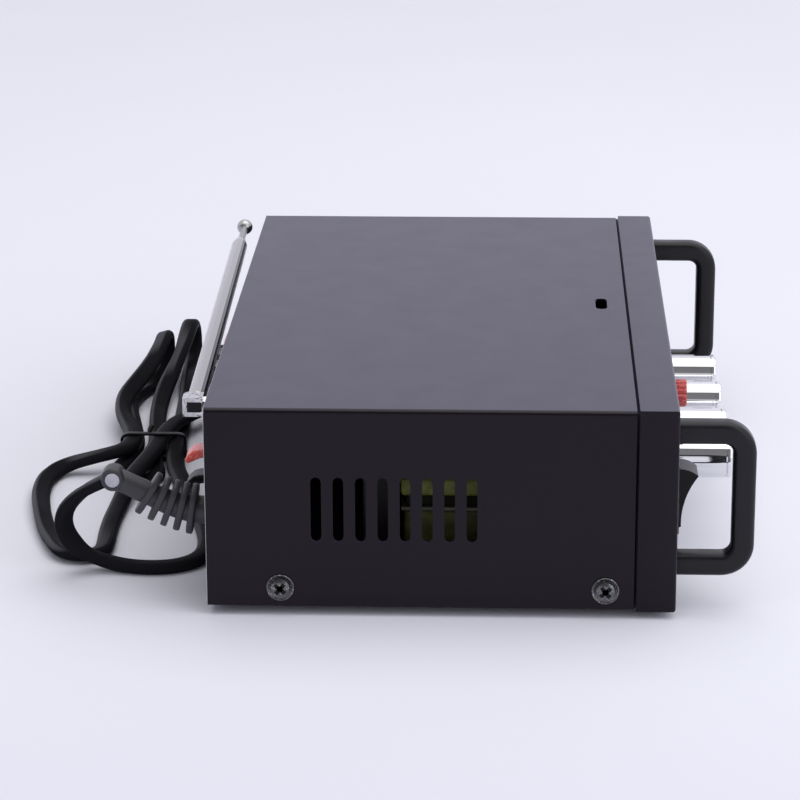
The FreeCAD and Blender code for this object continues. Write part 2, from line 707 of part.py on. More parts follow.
def make_boards():
    pieces = [block("ControlSheet", "left_x + 52", "front_y + 12.8", 15, 160, 1.6, 42)]
    for index in range(4):
        place = "left_x + button_first + %d * button_pitch" % index
        pieces.append(block("KeySwitch%d" % index, place + " - 3", "front_y + 9.2", "strip_high - 3",
                            6, 3.8, 6))
    node(fused("ControlBoard", *pieces), "control_board")
    radio = block("RadioSheet", 30, "front_y + 14.6", 30, 15, 1.0, 22)
    can = block("RadioCan", 32, "front_y + 15.6", 32, 11, 1.6, 11)
    node(fused("BluetoothModule", radio, can), "bluetooth_module")
    low = "foot_height + tray_gauge + 5"
    node(block("MainBoard", -18, -40, low, 116, 88, 1.6), "main_board")
    top = low + " + 1.6"
    base = block("SinkBase", 24, 30, top, 62, 4, 38)
    fins = []
    for index in range(7):
        fins.append(block("SinkFin%d" % index, 24 + 9.9 * index, 34, top, 2.6, 13, 38))
    node(fused("HeatSink", base, *fins), "heat_sink")
    chip = block("ChipBody", 44, 25.6, top + " + 6", 20, 4.3, 16)
    legs = []
    for index in range(5):
        legs.append(block("ChipLeg%d" % index, 46 + 3.6 * index, 27.4, top, 1.2, 0.8, 6.2))
    node(fused("PowerChip", chip, *legs), "power_chip")
    cans = []
    places = ((0, 30, 18, 32), (0, 6, 18, 32), (30, 6, 8, 12), (42, 6, 8, 12), (72, -4, 10, 16),
              (84, -20, 8, 12))
    for index, (x, y, across, tall) in enumerate(places):
        cans.append(prism("Can%d" % index, x, y, top, across, tall, 12))
    node(group("Capacitors", *cans), "capacitors")


def make_transformer():
    """Laminated core with two windows, and the taped coil round its middle leg."""
    x = "left_x + 18"
    y = "rear_y - 74"
    low = "foot_height + tray_gauge"
    stack = block("CoreStack", x, y + " - 28.5", low, 22, 57, 48)
    windows = []
    for index, side in enumerate((-19, 9.5)):
        windows.append(block("CoreWindow%d" % index, x + " - 1", y + " + %s" % side, low + " + 9.5",
                             24, 9.5, 29))
    feet = []
    for index, side in enumerate((-36, 28.4)):
        feet.append(block("CoreFoot%d" % index, x + " + 4", y + " + %s" % side, low, 14, 7.6, 1.5))
    holes = []
    for index, side in enumerate((-32.4, 32.4)):
        holes.append(prism("CoreHole%d" % index, x + " + 11", y + " + %s" % side, low + " - 1", 3.6, 4))
    solid = fused("CoreSolid", without("CoreLegs", stack, *windows), *feet)
    node(without("TransformerCore", solid, *holes), "transformer_core")
    outer = block("CoilOuter", x + " - 9", y + " - 18.3", low + " + 9.8", 40, 36.6, 28.4)
    edges = doc.addObject("Part::Chamfer", "CoilCorners")
    edges.Base = outer
    edges.Edges = [(number, 3.0, 3.0) for number in (1, 3, 5, 7)]
    leg = block("CoilLeg", x + " - 0.1", y + " - 9.6", low, 22.2, 19.2, 60)
    node(without("TransformerCoil", edges, leg), "transformer_coil")
    screws = []
    for index, side in enumerate((-32.4, 32.4)):
        head = prism("CoreScrewHead%d" % index, x + " + 11", y + " + %s" % side, low + " + 1.5", 6.0, 2)
        stem = prism("CoreScrewStem%d" % index, x + " + 11", y + " + %s" % side, low, 3.4, 2.5)
        screws.append(fused("CoreScrew%d" % index, head, stem))
    node(group("TransformerScrews", *screws), "transformer_screws")


# The rear: speaker terminals, sockets, antenna and strain relief


def make_terminals(side, place):
    """A spring terminal pair: the block in the rear wall and its two levers."""
    x = "left_x + " + place
    plate = block(side + "Plate", x + " - 8.5", "rear_y - 0.2", "terminal_high - 13.5", 17, 1.4, 27)
    box = block(side + "Box", x + " - 6", "rear_y - 14", "terminal_high - 11", 12, 13.9, 22)
    solid = fused(side + "Solid", plate, box)
    cuts = []
    for index, high in enumerate(("lever_black", "lever_red")):
        cuts.append(block(side + "Well%d" % index, x + " - 4.6", "rear_y - 9", high + " - 2.6", 9.2, 12, 6))
    node(without(side + "Terminals", solid, *cuts), side + "_speaker_terminals")
    for colour, high in (("black", "lever_black"), ("red", "lever_red")):
        make_lever(side, colour, x, high)


def make_lever(side, colour, x, high):
    """A press lever: a short arm that leaves its well and droops to a finger pad."""
    body = new_body("%s_%s_lever" % (side, colour))
    profile = sketch_on(body, "YZ_Plane", "%s_%s_profile" % (side, colour))
    outline(profile, [(-6.6, -1.2), (-4.2, -1.6), (1.0, -0.8), (4.6, 0.0), (9.2, -2.1), (9.9, -0.7),
                      (9.0, 0.7), (7.4, 2.1), (5.4, 2.6), (-3.8, 2.2), (-6.6, 1.2)])
    body.Tip = pad(body, profile, 7.6, "%s_%s_arm" % (side, colour), both_ways=True)
    put(body, x, "rear_y", high)


def make_sockets():
    shells = []
    for index, side in enumerate((-7, 7)):
        x = "left_x + line_in_place + %d" % side
        body = prism("LineBody%d" % index, x, "rear_y - 10", 36, 8.3, 10.4, 8, TO_REAR)
        base = prism("LineBase%d" % index, x, "rear_y", 36, 10.4, 1.6, 6, TO_REAR)
        barrel = prism("LineBarrel%d" % index, x, "rear_y + 1", 36, 8.2, "rear_reach - 1", 16, TO_REAR)
        bore = rod("LineBore%d" % index, x, "rear_y - 8", 36, 1.7, 17, TO_REAR)
        cup = prism("LineCup%d" % index, x, "rear_y + rear_reach - 3", 36, 6.6, 6, 16, TO_REAR)
        solid = fused("LineSolid%d" % index, body, base, barrel)
        shells.append(without("LineIn%d" % index, solid, bore, cup))
    node(group("LineInSockets", *shells), "line_in_sockets")
    x = "left_x + dc_place"
    barrel = prism("DcBarrel", x, "rear_y - 13", 34, 7.9, 14.2, 8, TO_REAR)
    collar = prism("DcCollar", x, "rear_y", 34, 10.4, 1.4, 8, TO_REAR)
    hollow = rod("DcHollow", x, "rear_y - 10", 34, 2.85, 20, TO_REAR)
    pin = prism("DcPin", x, "rear_y - 11", 34, 2.0, 11, 8, TO_REAR)
    node(fused("DcSocket", without("DcShell", fused("DcSolid", barrel, collar), hollow), pin), "dc_socket")


def flat_ring(along, radius, sides=8):
    """A closed ring of flats across X, for a ruled loft."""
    turns = [math.tau * side / sides for side in range(sides + 1)]
    flat = [(radius * math.cos(turn), radius * math.sin(turn)) for turn in turns]
    return Part.makePolygon([Vector(along, y, z) for y, z in flat])


def make_antenna():
    """Swivel fork on the rear wall, and a mast of three tubes and a ball-ended rod."""
    x = left_x + swivel_place
    y = rear_y + mast_reach
    spot = Vector(x, y, mast_high)
    upright = Rotation(Vector(0, 1, 0), -90)

    def bar(radius, length, start, turn):
        """An eight-sided bar from a point, along X turned by a rotation."""
        solid = Part.makeLoft([flat_ring(0, radius), flat_ring(length, radius)], True, True)
        solid.Placement = Placement(start, turn)
        return solid

    low = mast_high - 2.9
    flange = bar(3.2, 0.9, Vector(x, rear_y + 0.1, swivel_high), Rotation(Vector(0, 0, 1), 90))
    stem = Part.makeBox(2.1, 5.0, 2.1, Vector(x - 1.05, rear_y - 4.8, swivel_high - 1.05))
    fork = Part.makeBox(4.0, mast_reach + 1.55, 5.8, Vector(x - 4.0, rear_y + 0.9, low))
    wall = Part.makeBox(5.8, 0.9, 5.8, Vector(x - 4.0, rear_y + 0.9, low))
    crown = Part.makeCylinder(2.45, 5.8, Vector(x, y, low))
    gap = Part.makeBox(8.0, 8.0, 3.1, Vector(x - 2.2, rear_y + 1.8, mast_high - 1.55))
    window = Part.makeBox(4.0, 3.9, 3.1, Vector(x - 4.5, rear_y + 1.5, mast_high - 1.55))
    pin = bar(0.8, 5.0, Vector(x, y, mast_high - 2.5), upright)
    feature("antenna_swivel", fork.fuse([wall, crown]).cut(gap).cut(window).fuse([flange, stem, pin]))

    lean = Rotation(Vector(0, 0, 1), 1.0)
    radius = mast_round / 2.0
    gauge = 0.4

    def band(radius, start, end):
        return Part.makeCylinder(radius, end - start, Vector(start, 0, 0), Vector(1, 0, 0))

    eye = Part.makeCylinder(1.8, 2.9, Vector(0, 0, -1.45), Vector(0, 0, 1))
    flat = Part.makeBox(3.6, 3.6, 2.9, Vector(0, -1.8, -1.45))
    hole = bar(0.93, 6.0, Vector(0, 0, -3.0), upright)
    collar = band(radius, 3.3, 6.0)
    outer = band(radius, 6.0, 189.8).cut(band(radius - gauge, 6.0, 189.8))
    feature("antenna_outer_tube", flat.fuse([eye, collar, outer]).cut(hole), Placement(spot, lean))
    sections = (("antenna_middle_tube", radius - gauge - 0.05, 10.8, 191.4),
                ("antenna_inner_tube", radius - 2.0 * gauge - 0.1, 12.2, 193.0))
    for label, outside, start, end in sections:
        solid = band(outside, start, end).cut(band(outside - gauge + 0.05, start, end))
        feature(label, solid, Placement(spot, lean))
    thin = radius - 3.0 * gauge - 0.1
    ends = ((204.0, thin), (205.2, 2.3), (206.6, 2.75), (208.8, 2.75), (210.4, 1.9), (211.0, 0.8))
    ball = Part.makeLoft([flat_ring(along, out) for along, out in ends], True, True)
    feature("antenna_tip_rod", band(thin, 13.6, 204.6).fuse(ball), Placement(spot, lean))


def relief_axis(reach):
    """The relief's axis climbs as it leaves the wall: height above its root."""
    return 0.0145 * reach * reach if reach < 18.3 else 4.86 + 0.48 * (reach - 18.3)


def make_relief():
    """Moulded bend relief: wall plate, five leaning ribs on a tapering core, and a round nose."""
    x = left_x + relief_place

    def ring(reach, wide, tall, lean, sides=12):
        """A closed stadium of flats round the axis, leaning back from upright."""
        half = wide / 2.0
        straight = tall / 2.0 - half
        spot = Vector(x, rear_y + reach, relief_high + relief_axis(reach))
        points = []
        for side in range(sides):
            turn = math.tau * (side + 0.5) / sides
            up = math.sin(turn) * half + math.copysign(straight, math.sin(turn))
            flat = Vector(math.cos(turn) * half, 0, up)
            points.append(spot + Rotation(Vector(1, 0, 0), lean).multVec(flat))
        return Part.makePolygon(points + points[:1])

    def rib(reach, wide, tall, thick, lean):
        back = Part.Face(ring(reach, wide, tall, lean))
        return back.extrude(Rotation(Vector(1, 0, 0), lean).multVec(Vector(0, thick, 0)))

    solid = rib(-0.3, 14.0, 22.4, 1.6, 0)
    stations = ((-0.2, 4.4, 0), (6.0, 4.2, 12), (13.0, 3.8, 20), (18.5, 3.5, 26), (29.5, 3.3, 26))
    core = [ring(reach, 2.0 * half, 2.0 * half + 0.01, lean, 8) for reach, half, lean in stations]
    solid = solid.fuse(Part.makeLoft(core, True, True))
    for index in range(5):
        reach = 4.2 + 3.275 * index
        solid = solid.fuse(rib(reach, 11.6 - 0.35 * index, 15.4 - 0.35 * index, 2.0, 11.0 + 3.0 * index))
    inner = Part.makeBox(8.0, 6.0, 10.0, Vector(x - 4.0, rear_y - 6.1, relief_high - 5.0))
    end = Vector(x - 3.4, rear_y + 29.5, relief_high + relief_axis(29.5))
    nose = Part.makeLoft([flat_ring(0.0, 3.6, 12), flat_ring(6.8, 3.6, 12)], True, True)
    nose.translate(end)
    feature("strain_relief", solid.fuse(inner).fuse(nose))


# The cord: its route, its flat section, the loops of the hank, the tie and the plug

# Each point: along the width from the left side, behind the rear wall, above the floor.

LEAD_ROUTE = [
    (20.0, 30.6, 35.6), (20.6, 36.9, 32.6), (23.0, 42.0, 28.2), (26.6, 45.6, 23.0), (30.0, 46.9, 17.0),
    (33.0, 45.4, 11.0), (35.2, 41.0, 5.8), (36.0, 34.8, 2.9), (34.8, 27.8, 1.9), (33.8, 20.5, 1.9),
    (35.4, 13.0, 1.9), (40.8, 7.2, 1.9), (49.0, 5.2, 1.9), (61.0, 6.0, 1.9), (75.0, 9.0, 1.9),
    (89.0, 12.8, 1.9), (103.0, 17.0, 1.9), (116.0, 20.4, 1.9),
]
HANK_ROUTE = [
    (116.0, 20.4, 1.9), (129.0, 23.8, 1.9), (142.0, 25.2, 3.0), (157.0, 25.7, 2.2), (180.0, 26.7, 1.9),
    (205.0, 27.8, 1.9), (228.0, 29.4, 1.9), (244.0, 30.3, 1.9), (255.0, 30.6, 1.9), (259.3, 30.8, 6.2),
    (259.3, 31.0, 12.2), (255.0, 31.2, 16.5), (245.0, 31.5, 15.6), (233.0, 32.3, 11.9), (218.0, 34.7, 7.4),
    (203.0, 36.4, 4.1), (186.0, 36.2, 2.2), (167.0, 34.0, 1.9), (154.0, 32.7, 2.2), (142.0, 32.2, 2.9),
    (131.0, 31.2, 2.5), (120.5, 28.7, 1.9), (115.7, 31.1, 1.9), (113.8, 36.1, 1.9), (115.7, 41.2, 1.9),
    (120.5, 43.8, 1.9), (131.0, 41.2, 2.3), (142.0, 39.2, 2.9), (155.0, 40.0, 2.2), (170.0, 42.8, 1.9),
    (186.0, 46.0, 1.9), (199.0, 46.7, 1.9), (211.0, 44.9, 1.9), (221.0, 42.4, 1.9), (230.0, 40.4, 1.9),
    (239.0, 39.6, 1.9), (243.3, 39.4, 6.2), (243.3, 39.2, 12.2), (239.0, 39.2, 16.5), (229.0, 39.6, 15.2),
    (216.0, 41.8, 11.6), (201.0, 45.6, 9.0), (187.0, 48.4, 7.6), (172.0, 46.8, 6.8), (158.0, 42.6, 6.9),
    (147.0, 39.8, 7.1), (138.0, 39.3, 7.1), (131.2, 41.6, 7.1), (127.6, 46.4, 6.9), (126.6, 52.4, 5.6),
    (126.8, 58.6, 3.8), (122.4, 63.4, 2.6), (113.0, 65.4, 1.9), (100.0, 65.0, 1.9), (86.0, 62.6, 1.9),
    (72.0, 59.4, 1.9), (61.0, 56.3, 1.9), (53.0, 53.5, 1.9), (46.9, 51.1, 1.9), (42.9, 47.2, 1.9),
    (42.8, 41.5, 1.9), (46.9, 37.5, 1.9), (54.0, 37.3, 1.9), (64.0, 38.0, 1.9), (74.0, 38.3, 1.9),
    (84.0, 38.1, 1.9), (92.5, 37.5, 2.4), (100.5, 36.5, 4.8), (108.5, 35.2, 6.5), (119.0, 33.0, 6.9),
    (130.0, 31.2, 7.1), (142.0, 30.2, 7.2), (156.0, 28.8, 7.0), (169.0, 25.0, 6.4), (180.0, 19.4, 6.1),
    (189.0, 14.2, 6.1), (196.5, 11.5, 7.0), (204.0, 11.5, 7.0),
]


def in_frame(points):
    return [Vector(left_x + along, rear_y + behind, high) for along, behind, high in points]


def tangent_path(points):
    """Straight runs joined by tangent arcs, and the radii of the arcs."""
    edges = []
    radii = []
    last = points[0]
    for before, here, after in zip(points, points[1:], points[2:]):
        back = before - here
        on = after - here
        turn = math.pi - back.getAngle(on)
        setback = 0.45 * min(back.Length, on.Length)
        radii.append(setback / math.tan(turn / 2.0))
        back.normalize()
        on.normalize()
        start = here + back * setback
        stop = here + on * setback
        bulge = (back + on).normalize() * (radii[-1] / math.cos(turn / 2.0) - radii[-1])
        edges.append(Part.LineSegment(last, start).toShape())
        edges.append(Part.Arc(start, here + bulge, stop).toShape())
        last = stop
    edges.append(Part.LineSegment(last, points[-1]).toShape())
    return edges, radii


def level_across(way, before):
    """The level line across a way, or the last one carried on where the way is steep."""
    across = way.cross(Vector(0, 0, 1))
    if across.Length < 0.7:
        across = before - way * before.dot(way)
    across.normalize()
    return across if across.dot(before) > 0 else across * -1.0


def cord_section(spot, way, across):
    """The flat section of the twin cord, square to its way."""
    up = across.cross(way)
    wide = cord_wide / 2.0
    thick = cord_thick / 2.0
    corners = [(wide, 0.0), (wide * 0.66, thick), (-wide * 0.66, thick),
               (-wide, 0.0), (-wide * 0.66, -thick), (wide * 0.66, -thick)]
    points = [spot + across * a + up * b for a, b in corners]
    return Part.Wire(Part.makePolygon(points + points[:1]))


def cord_solid(points):
    """One skin through level sections along the runs, and through a few round each arc."""
    way = (points[1] - points[0]).normalize()
    across = level_across(way, way.cross(Vector(0, 0, 1)))
    sections = [cord_section(points[0], way, across)]
    for before, here, after in zip(points, points[1:], points[2:]):
        way = (here - before).normalize()
        on = (after - here).normalize()
        across = level_across(way, across)
        setback = 0.45 * min(here.distanceToPoint(before), here.distanceToPoint(after))
        turn = way.getAngle(on)
        axis = way.cross(on)
        centre = here + (on - way).normalize() * (setback / math.sin(turn / 2.0))
        steps = max(1, math.ceil(turn / arc_step))
        for step in range(steps + 1):
            swing = Rotation(axis, math.degrees(turn * step / steps))
            spot = centre + swing.multVec(here - way * setback - centre)
            sections.append(cord_section(spot, swing.multVec(way), swing.multVec(across)))
        across = swing.multVec(across)
    way = (points[-1] - points[-2]).normalize()
    sections.append(cord_section(points[-1], way, level_across(way, across)))
    return Part.makeLoft(sections, True, True)


def make_stretch(label, route):
    """One stretch of cord: its solid, and a check of it against its own path."""
    points = in_frame(route)
    solid = cord_solid(points)
    feature(label, solid)
    edges, radii = tangent_path(points)
    path = Part.Wire(edges)
    area = Part.Face(cord_section(Vector(), Vector(1, 0, 0), Vector(0, 1, 0))).Area
    print("%s length %.1f, least radius %.1f, volume over section times length %.4f"
          % (label, path.Length, min(radii), solid.Volume / (area * path.Length)))
    print("%s radii %s" % (label, " ".join("%.0f" % radius for radius in radii)))
    return path


def least_gap(path):
    """Least gap of the hank's cord to itself: width level, thickness upright."""
    points = path.discretize(Distance=2.0)
    least = 1e9
    skip = int(3 * cord_wide / 2.0) + 2
    for index, here in enumerate(points):
        for there in points[index + skip:]:
            level = math.hypot(here.x - there.x, here.y - there.y)
            upright = abs(here.z - there.z)
            gap = max(level - cord_wide, upright - cord_thick)
            least = min(least, gap)
    return least


def make_cord():
    lead_path = make_stretch("cord_lead", LEAD_ROUTE)
    hank_path = make_stretch("cord_hank", HANK_ROUTE)
    print("cord_hank least gap to itself %.2f" % least_gap(hank_path))
    print("cord length %.1f" % (lead_path.Length + hank_path.Length))


def eight_sided(x, y, z, deep, tall, corner):
    """A level block's outline across X, with its corners taken off."""
    ends = [(corner, 0), (deep - corner, 0), (deep, corner), (deep, tall - corner),
            (deep - corner, tall), (corner, tall), (0, tall - corner), (0, corner)]
    points = [Vector(x, y + along, z + up) for along, up in ends]
    return Part.Face(Part.makePolygon(points + points[:1]))


def make_tie():
    """A flat tie band round the hank's waist, with its twisted end on top."""
    x = left_x + 140.4
    outer = eight_sided(x, rear_y + 20.7, 0.0, 23.3, 10.3, 2.6).extrude(Vector(2.4, 0, 0))
    inner = eight_sided(x - 1, rear_y + 21.7, 0.7, 21.3, 8.6, 1.2).extrude(Vector(4.4, 0, 0))
    twist = Part.makeBox(7.0, 1.7, 1.0, Vector(x + 2.0, rear_y + 33.0, 9.3))
    feature("cord_tie", outer.cut(inner).fuse(twist))


def make_plug():
    """A moulded two-pin plug lying flat, with its tapered neck towards the cord."""
    x = left_x + 204.0
    y = rear_y + 11.5
    high = 7.0

    neck = Part.makeWedge(-4.0, 0.0, -2.6, -4.6, -7.0, 4.0, 9.0, 2.6, 4.6, 7.0)
    neck.Placement = Placement(Vector(x, y, high), Rotation(Vector(0, 0, 1), -90))
    grip = eight_sided(x + 8.0, y - 10.0, 0.1, 20.0, 13.8, 3.0).extrude(Vector(23.0, 0, 0))
    sides = (y - 7.1, y + 5.6)
    pins = [Part.makeBox(17.0, 1.5, 6.3, Vector(x + 30.5, side, high - 3.15)) for side in sides]
    feature("mains_plug", neck.fuse([grip] + pins))


make_cover()
make_tray()
make_feet()
make_side_screws()
make_panel()
make_plate()
make_handle("handle_left", "left_x + handle_place")
make_handle("handle_right", "-left_x - handle_place")
make_handle_screws()
make_switch()
make_rocker()
for index, name in enumerate(("treble", "bass", "balance", "volume")):
    make_control(name, index)
make_jack()
make_strip()
make_boards()
make_transformer()
make_terminals("right", "terminal_right")
make_terminals("left", "terminal_left")
make_sockets()
make_antenna()
make_relief()
make_cord()
make_tie()
make_plug()

doc.recompute()

for item in doc.Objects:
    if {"Invalid", "Error"} & set(item.State):
        raise RuntimeError("%s did not build: %s" % (item.Name, item.State))

os.makedirs("parts", exist_ok=True)
for label, item in parts.items():
    shape = item.Shape
    if shape.isNull() or not shape.isValid() or not shape.Solids:
        raise RuntimeError("%s has no sound solid" % label)
    shape.exportStep("parts/%s.step" % label)
print("%d sub-parts" % len(parts))
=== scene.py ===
import json
import math

import bmesh
import bpy
from mathutils import Matrix, Vector


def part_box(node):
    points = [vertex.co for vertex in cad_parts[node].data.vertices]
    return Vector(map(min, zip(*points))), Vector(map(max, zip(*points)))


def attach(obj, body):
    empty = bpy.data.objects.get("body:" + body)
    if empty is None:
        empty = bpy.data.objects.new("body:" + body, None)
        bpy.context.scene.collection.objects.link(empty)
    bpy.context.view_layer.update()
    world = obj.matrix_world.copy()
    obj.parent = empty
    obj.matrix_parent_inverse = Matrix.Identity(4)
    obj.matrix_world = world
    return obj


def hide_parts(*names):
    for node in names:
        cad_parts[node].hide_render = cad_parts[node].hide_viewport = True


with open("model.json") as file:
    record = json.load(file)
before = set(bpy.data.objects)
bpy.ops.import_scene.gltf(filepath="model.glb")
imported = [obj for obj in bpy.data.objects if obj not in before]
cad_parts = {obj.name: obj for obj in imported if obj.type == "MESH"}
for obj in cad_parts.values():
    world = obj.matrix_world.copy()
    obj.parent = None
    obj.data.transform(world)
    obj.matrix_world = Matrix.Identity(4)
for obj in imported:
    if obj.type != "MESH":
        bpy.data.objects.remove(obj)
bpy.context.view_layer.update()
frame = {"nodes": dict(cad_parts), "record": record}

scene = bpy.context.scene
nodes = frame["nodes"]
record = frame["record"]
slots = {entry["node"]: entry["material_slot"] for entry in record["subparts"]}
body_of = {label: body for body, labels in record["behaviour"]["bodies"].items() for label in labels}


def node_box(label):
    """A node's lowest and highest corners, rounded to a thousandth of a millimetre."""
    return [[round(value, 6) for value in corner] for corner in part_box(label)]


def middle_of(label):
    """The middle of a node's box."""
    low, high = node_box(label)
    return [(a + b) / 2 for a, b in zip(low, high)]


# Places in metres, from the solids: the case's sides, rear wall and top, the panel's front and seam

cover_low, cover_high = node_box("top_cover")
panel_low, panel_high = node_box("front_panel")
LEFT_X, RIGHT_X = cover_low[0], cover_high[0]
REAR_Y, CASE_TOP = cover_high[1], cover_high[2]
FRONT_Y, SEAM_Y = panel_low[1], panel_high[1]


def in_frame(point):
    """A place given in millimetres from the left side, behind the rear wall and above the floor."""
    return Vector((LEFT_X + point[0] / 1000, REAR_Y + point[1] / 1000, point[2] / 1000))


# Camera: the photograph's viewing angle, from a perspective fit of the case's corners

CAMERA_SPOT = (-0.95584, REAR_Y - 0.09138, 0.33497)
YAW, PITCH, ROLL = 0.04047, 0.30784, -0.00368
LENS = 137.35


def add_camera():
    camera = bpy.data.objects.new("Camera", bpy.data.cameras.new("Camera"))
    scene.collection.objects.link(camera)
    scene.camera = camera
    right = Vector((math.sin(YAW), -math.cos(YAW), 0))
    up = Vector((math.sin(PITCH) * math.cos(YAW), math.sin(PITCH) * math.sin(YAW), math.cos(PITCH)))
    ahead = Vector((math.cos(PITCH) * math.cos(YAW), math.cos(PITCH) * math.sin(YAW), -math.sin(PITCH)))
    turned_right = right * math.cos(ROLL) + up * math.sin(ROLL)
    turned_up = up * math.cos(ROLL) - right * math.sin(ROLL)
    axes = Matrix((turned_right, turned_up, -ahead)).transposed().to_4x4()
    camera.matrix_world = Matrix.Translation(CAMERA_SPOT) @ axes
    camera.data.sensor_width = 36.0
    camera.data.lens = LENS
    camera.data.clip_start = 0.05
    camera.data.clip_end = 20.0


add_camera()

# Meshes: how pieces are made, rounded, cut and joined


def mesh_object(name, made):
    """A new object of the scene from a bmesh."""
    mesh = bpy.data.meshes.new(name)
    made.to_mesh(mesh)
    made.free()
    item = bpy.data.objects.new(name, mesh)
    scene.collection.objects.link(item)
    return item


def sharpen(item, degrees=32.0):
    """Shade the faces smooth and mark the edges that stay sharp."""
    made = bmesh.new()
    made.from_mesh(item.data)
    limit = math.radians(degrees)
    for face in made.faces:
        face.smooth = True
    for edge in made.edges:
        edge.smooth = len(edge.link_faces) == 2 and edge.calc_face_angle(0.0) < limit
    made.to_mesh(item.data)
    made.free()
    return item


def even_normals(item):
    """Large faces keep their own shade where a small bevel meets them."""
    weighted = item.modifiers.new("EvenNormals", "WEIGHTED_NORMAL")
    weighted.keep_sharp = True
    weighted.weight = 60
    return item


def skin(name, rings, capped=True, degrees=32.0):
    """A solid through rings of as many points each, with end faces or closed on itself."""
    made = bmesh.new()
    loops = [[made.verts.new(point) for point in ring] for ring in rings]
    count = len(loops[0])
    for low, high in zip(loops, loops[1:] if capped else loops[1:] + loops[:1]):
        for i in range(count):
            j = (i + 1) % count
            made.faces.new((low[i], low[j], high[j], high[i]))
    if capped:
        made.faces.new(loops[0][::-1])
        made.faces.new(loops[-1])
    bmesh.ops.recalc_face_normals(made, faces=made.faces)
    return sharpen(mesh_object(name, made), degrees)


def sweep(name, line, frames, profile, degrees=50.0):
    """A tube of one profile along a line, with flat ends."""
    rings = []
    for point, (way, side) in zip(line, frames):
        over = side.cross(way)
        rings.append([point + side * a + over * b for a, b in profile])
    return skin(name, rings, degrees=degrees)


def lathe(name, origin, axis, profile, steps=48, degrees=32.0, hollow=False):
    """A turned solid from (distance along the axis, radius) pairs; a hollow one has no end faces."""
    axis = Vector(axis).normalized()
    across = axis.orthogonal().normalized()
    over = axis.cross(across)
    turns = [math.tau * i / steps for i in range(steps)]
    outline = [across * math.cos(turn) + over * math.sin(turn) for turn in turns]
    made = bmesh.new()
    loops = []
    for along, radius in profile:
        spot = Vector(origin) + axis * along
        points = [spot + way * radius for way in outline] if radius else [spot]
        loops.append([made.verts.new(point) for point in points])
    for low, high in zip(loops, loops[1:] + loops[:1] if hollow else loops[1:]):
        for i in range(steps):
            j = (i + 1) % steps
            if len(low) == 1:
                made.faces.new((low[0], high[i], high[j]))
            elif len(high) == 1:
                made.faces.new((low[j], low[i], high[0]))
            else:
                made.faces.new((low[i], low[j], high[j], high[i]))
    if not hollow:
        for end in (loops[0][::-1], loops[-1]):
            if len(end) > 1:
                made.faces.new(end)
    bmesh.ops.recalc_face_normals(made, faces=made.faces)
    return sharpen(mesh_object(name, made), degrees)


def block(name, low, high, width=0.0, steps=2):
    """A box with rounded edges."""
    made = bmesh.new()
    bmesh.ops.create_cube(made, size=1.0)
    for vertex in made.verts:
        vertex.co = Vector([low[k] if vertex.co[k] < 0 else high[k] for k in range(3)])
    if width:
        bmesh.ops.bevel(made, geom=made.edges[:], offset=width, segments=steps, profile=0.5, affect="EDGES")
    return even_normals(sharpen(mesh_object(name, made), 40.0))


def rounded_copy(label, width, steps=3):
    """A node's own solid with its edges rounded, as a new piece."""
    made = bmesh.new()
    made.from_mesh(nodes[label].data)
    made.transform(nodes[label].matrix_world)
    bmesh.ops.remove_doubles(made, verts=made.verts, dist=1e-6)
    bmesh.ops.dissolve_limit(made, angle_limit=math.radians(1.0), verts=made.verts, edges=made.edges)
    limit = math.radians(28.0)
    edges = [edge for edge in made.edges
             if len(edge.link_faces) == 2 and abs(edge.calc_face_angle(0.0)) > limit]
    bmesh.ops.bevel(made, geom=edges, offset=width, segments=steps, profile=0.5, affect="EDGES",
                    clamp_overlap=True)
    return even_normals(sharpen(mesh_object(label + "_form", made), 40.0))


def cut(item, tool):
    """Take a tool's shape out of a piece."""
    bpy.context.view_layer.update()
    work = item.modifiers.new("Cut", "BOOLEAN")
    work.operation = "DIFFERENCE"
    work.solver = "EXACT"
    work.object = tool
    view = item.evaluated_get(bpy.context.evaluated_depsgraph_get())
    mesh = bpy.data.meshes.new_from_object(view)
    item.modifiers.remove(work)
    item.data = mesh
    bpy.data.objects.remove(tool)
    return item


def joined(name, *items):
    """Several pieces as one object."""
    made = bmesh.new()
    for item in items:
        view = item.evaluated_get(bpy.context.evaluated_depsgraph_get())
        made.from_mesh(view.to_mesh())
        view.to_mesh_clear()
        bpy.data.objects.remove(item)
    return sharpen(mesh_object(name, made))


def soft_rectangle(wide, tall, radius, steps=5):
    """A rectangle's outline with round corners."""
    points = []
    for quarter, (a, b) in enumerate(((1, 1), (-1, 1), (-1, -1), (1, -1))):
        for step in range(steps + 1):
            turn = math.pi / 2 * (quarter + step / steps)
            points.append((a * (wide / 2 - radius) + radius * math.cos(turn),
                           b * (tall / 2 - radius) + radius * math.sin(turn)))
    return points


def squircle(wide, tall, power, count=32):
    """A soft square: power 2 is an ellipse, more is squarer."""
    points = []
    for i in range(count):
        turn = math.tau * (i + 0.5) / count
        a, b = math.cos(turn), math.sin(turn)
        points.append((math.copysign(abs(a) ** (2 / power), a) * wide / 2,
                       math.copysign(abs(b) ** (2 / power), b) * tall / 2))
    return points


# Cord: its route along the width, behind the rear wall and above the floor, in millimetres

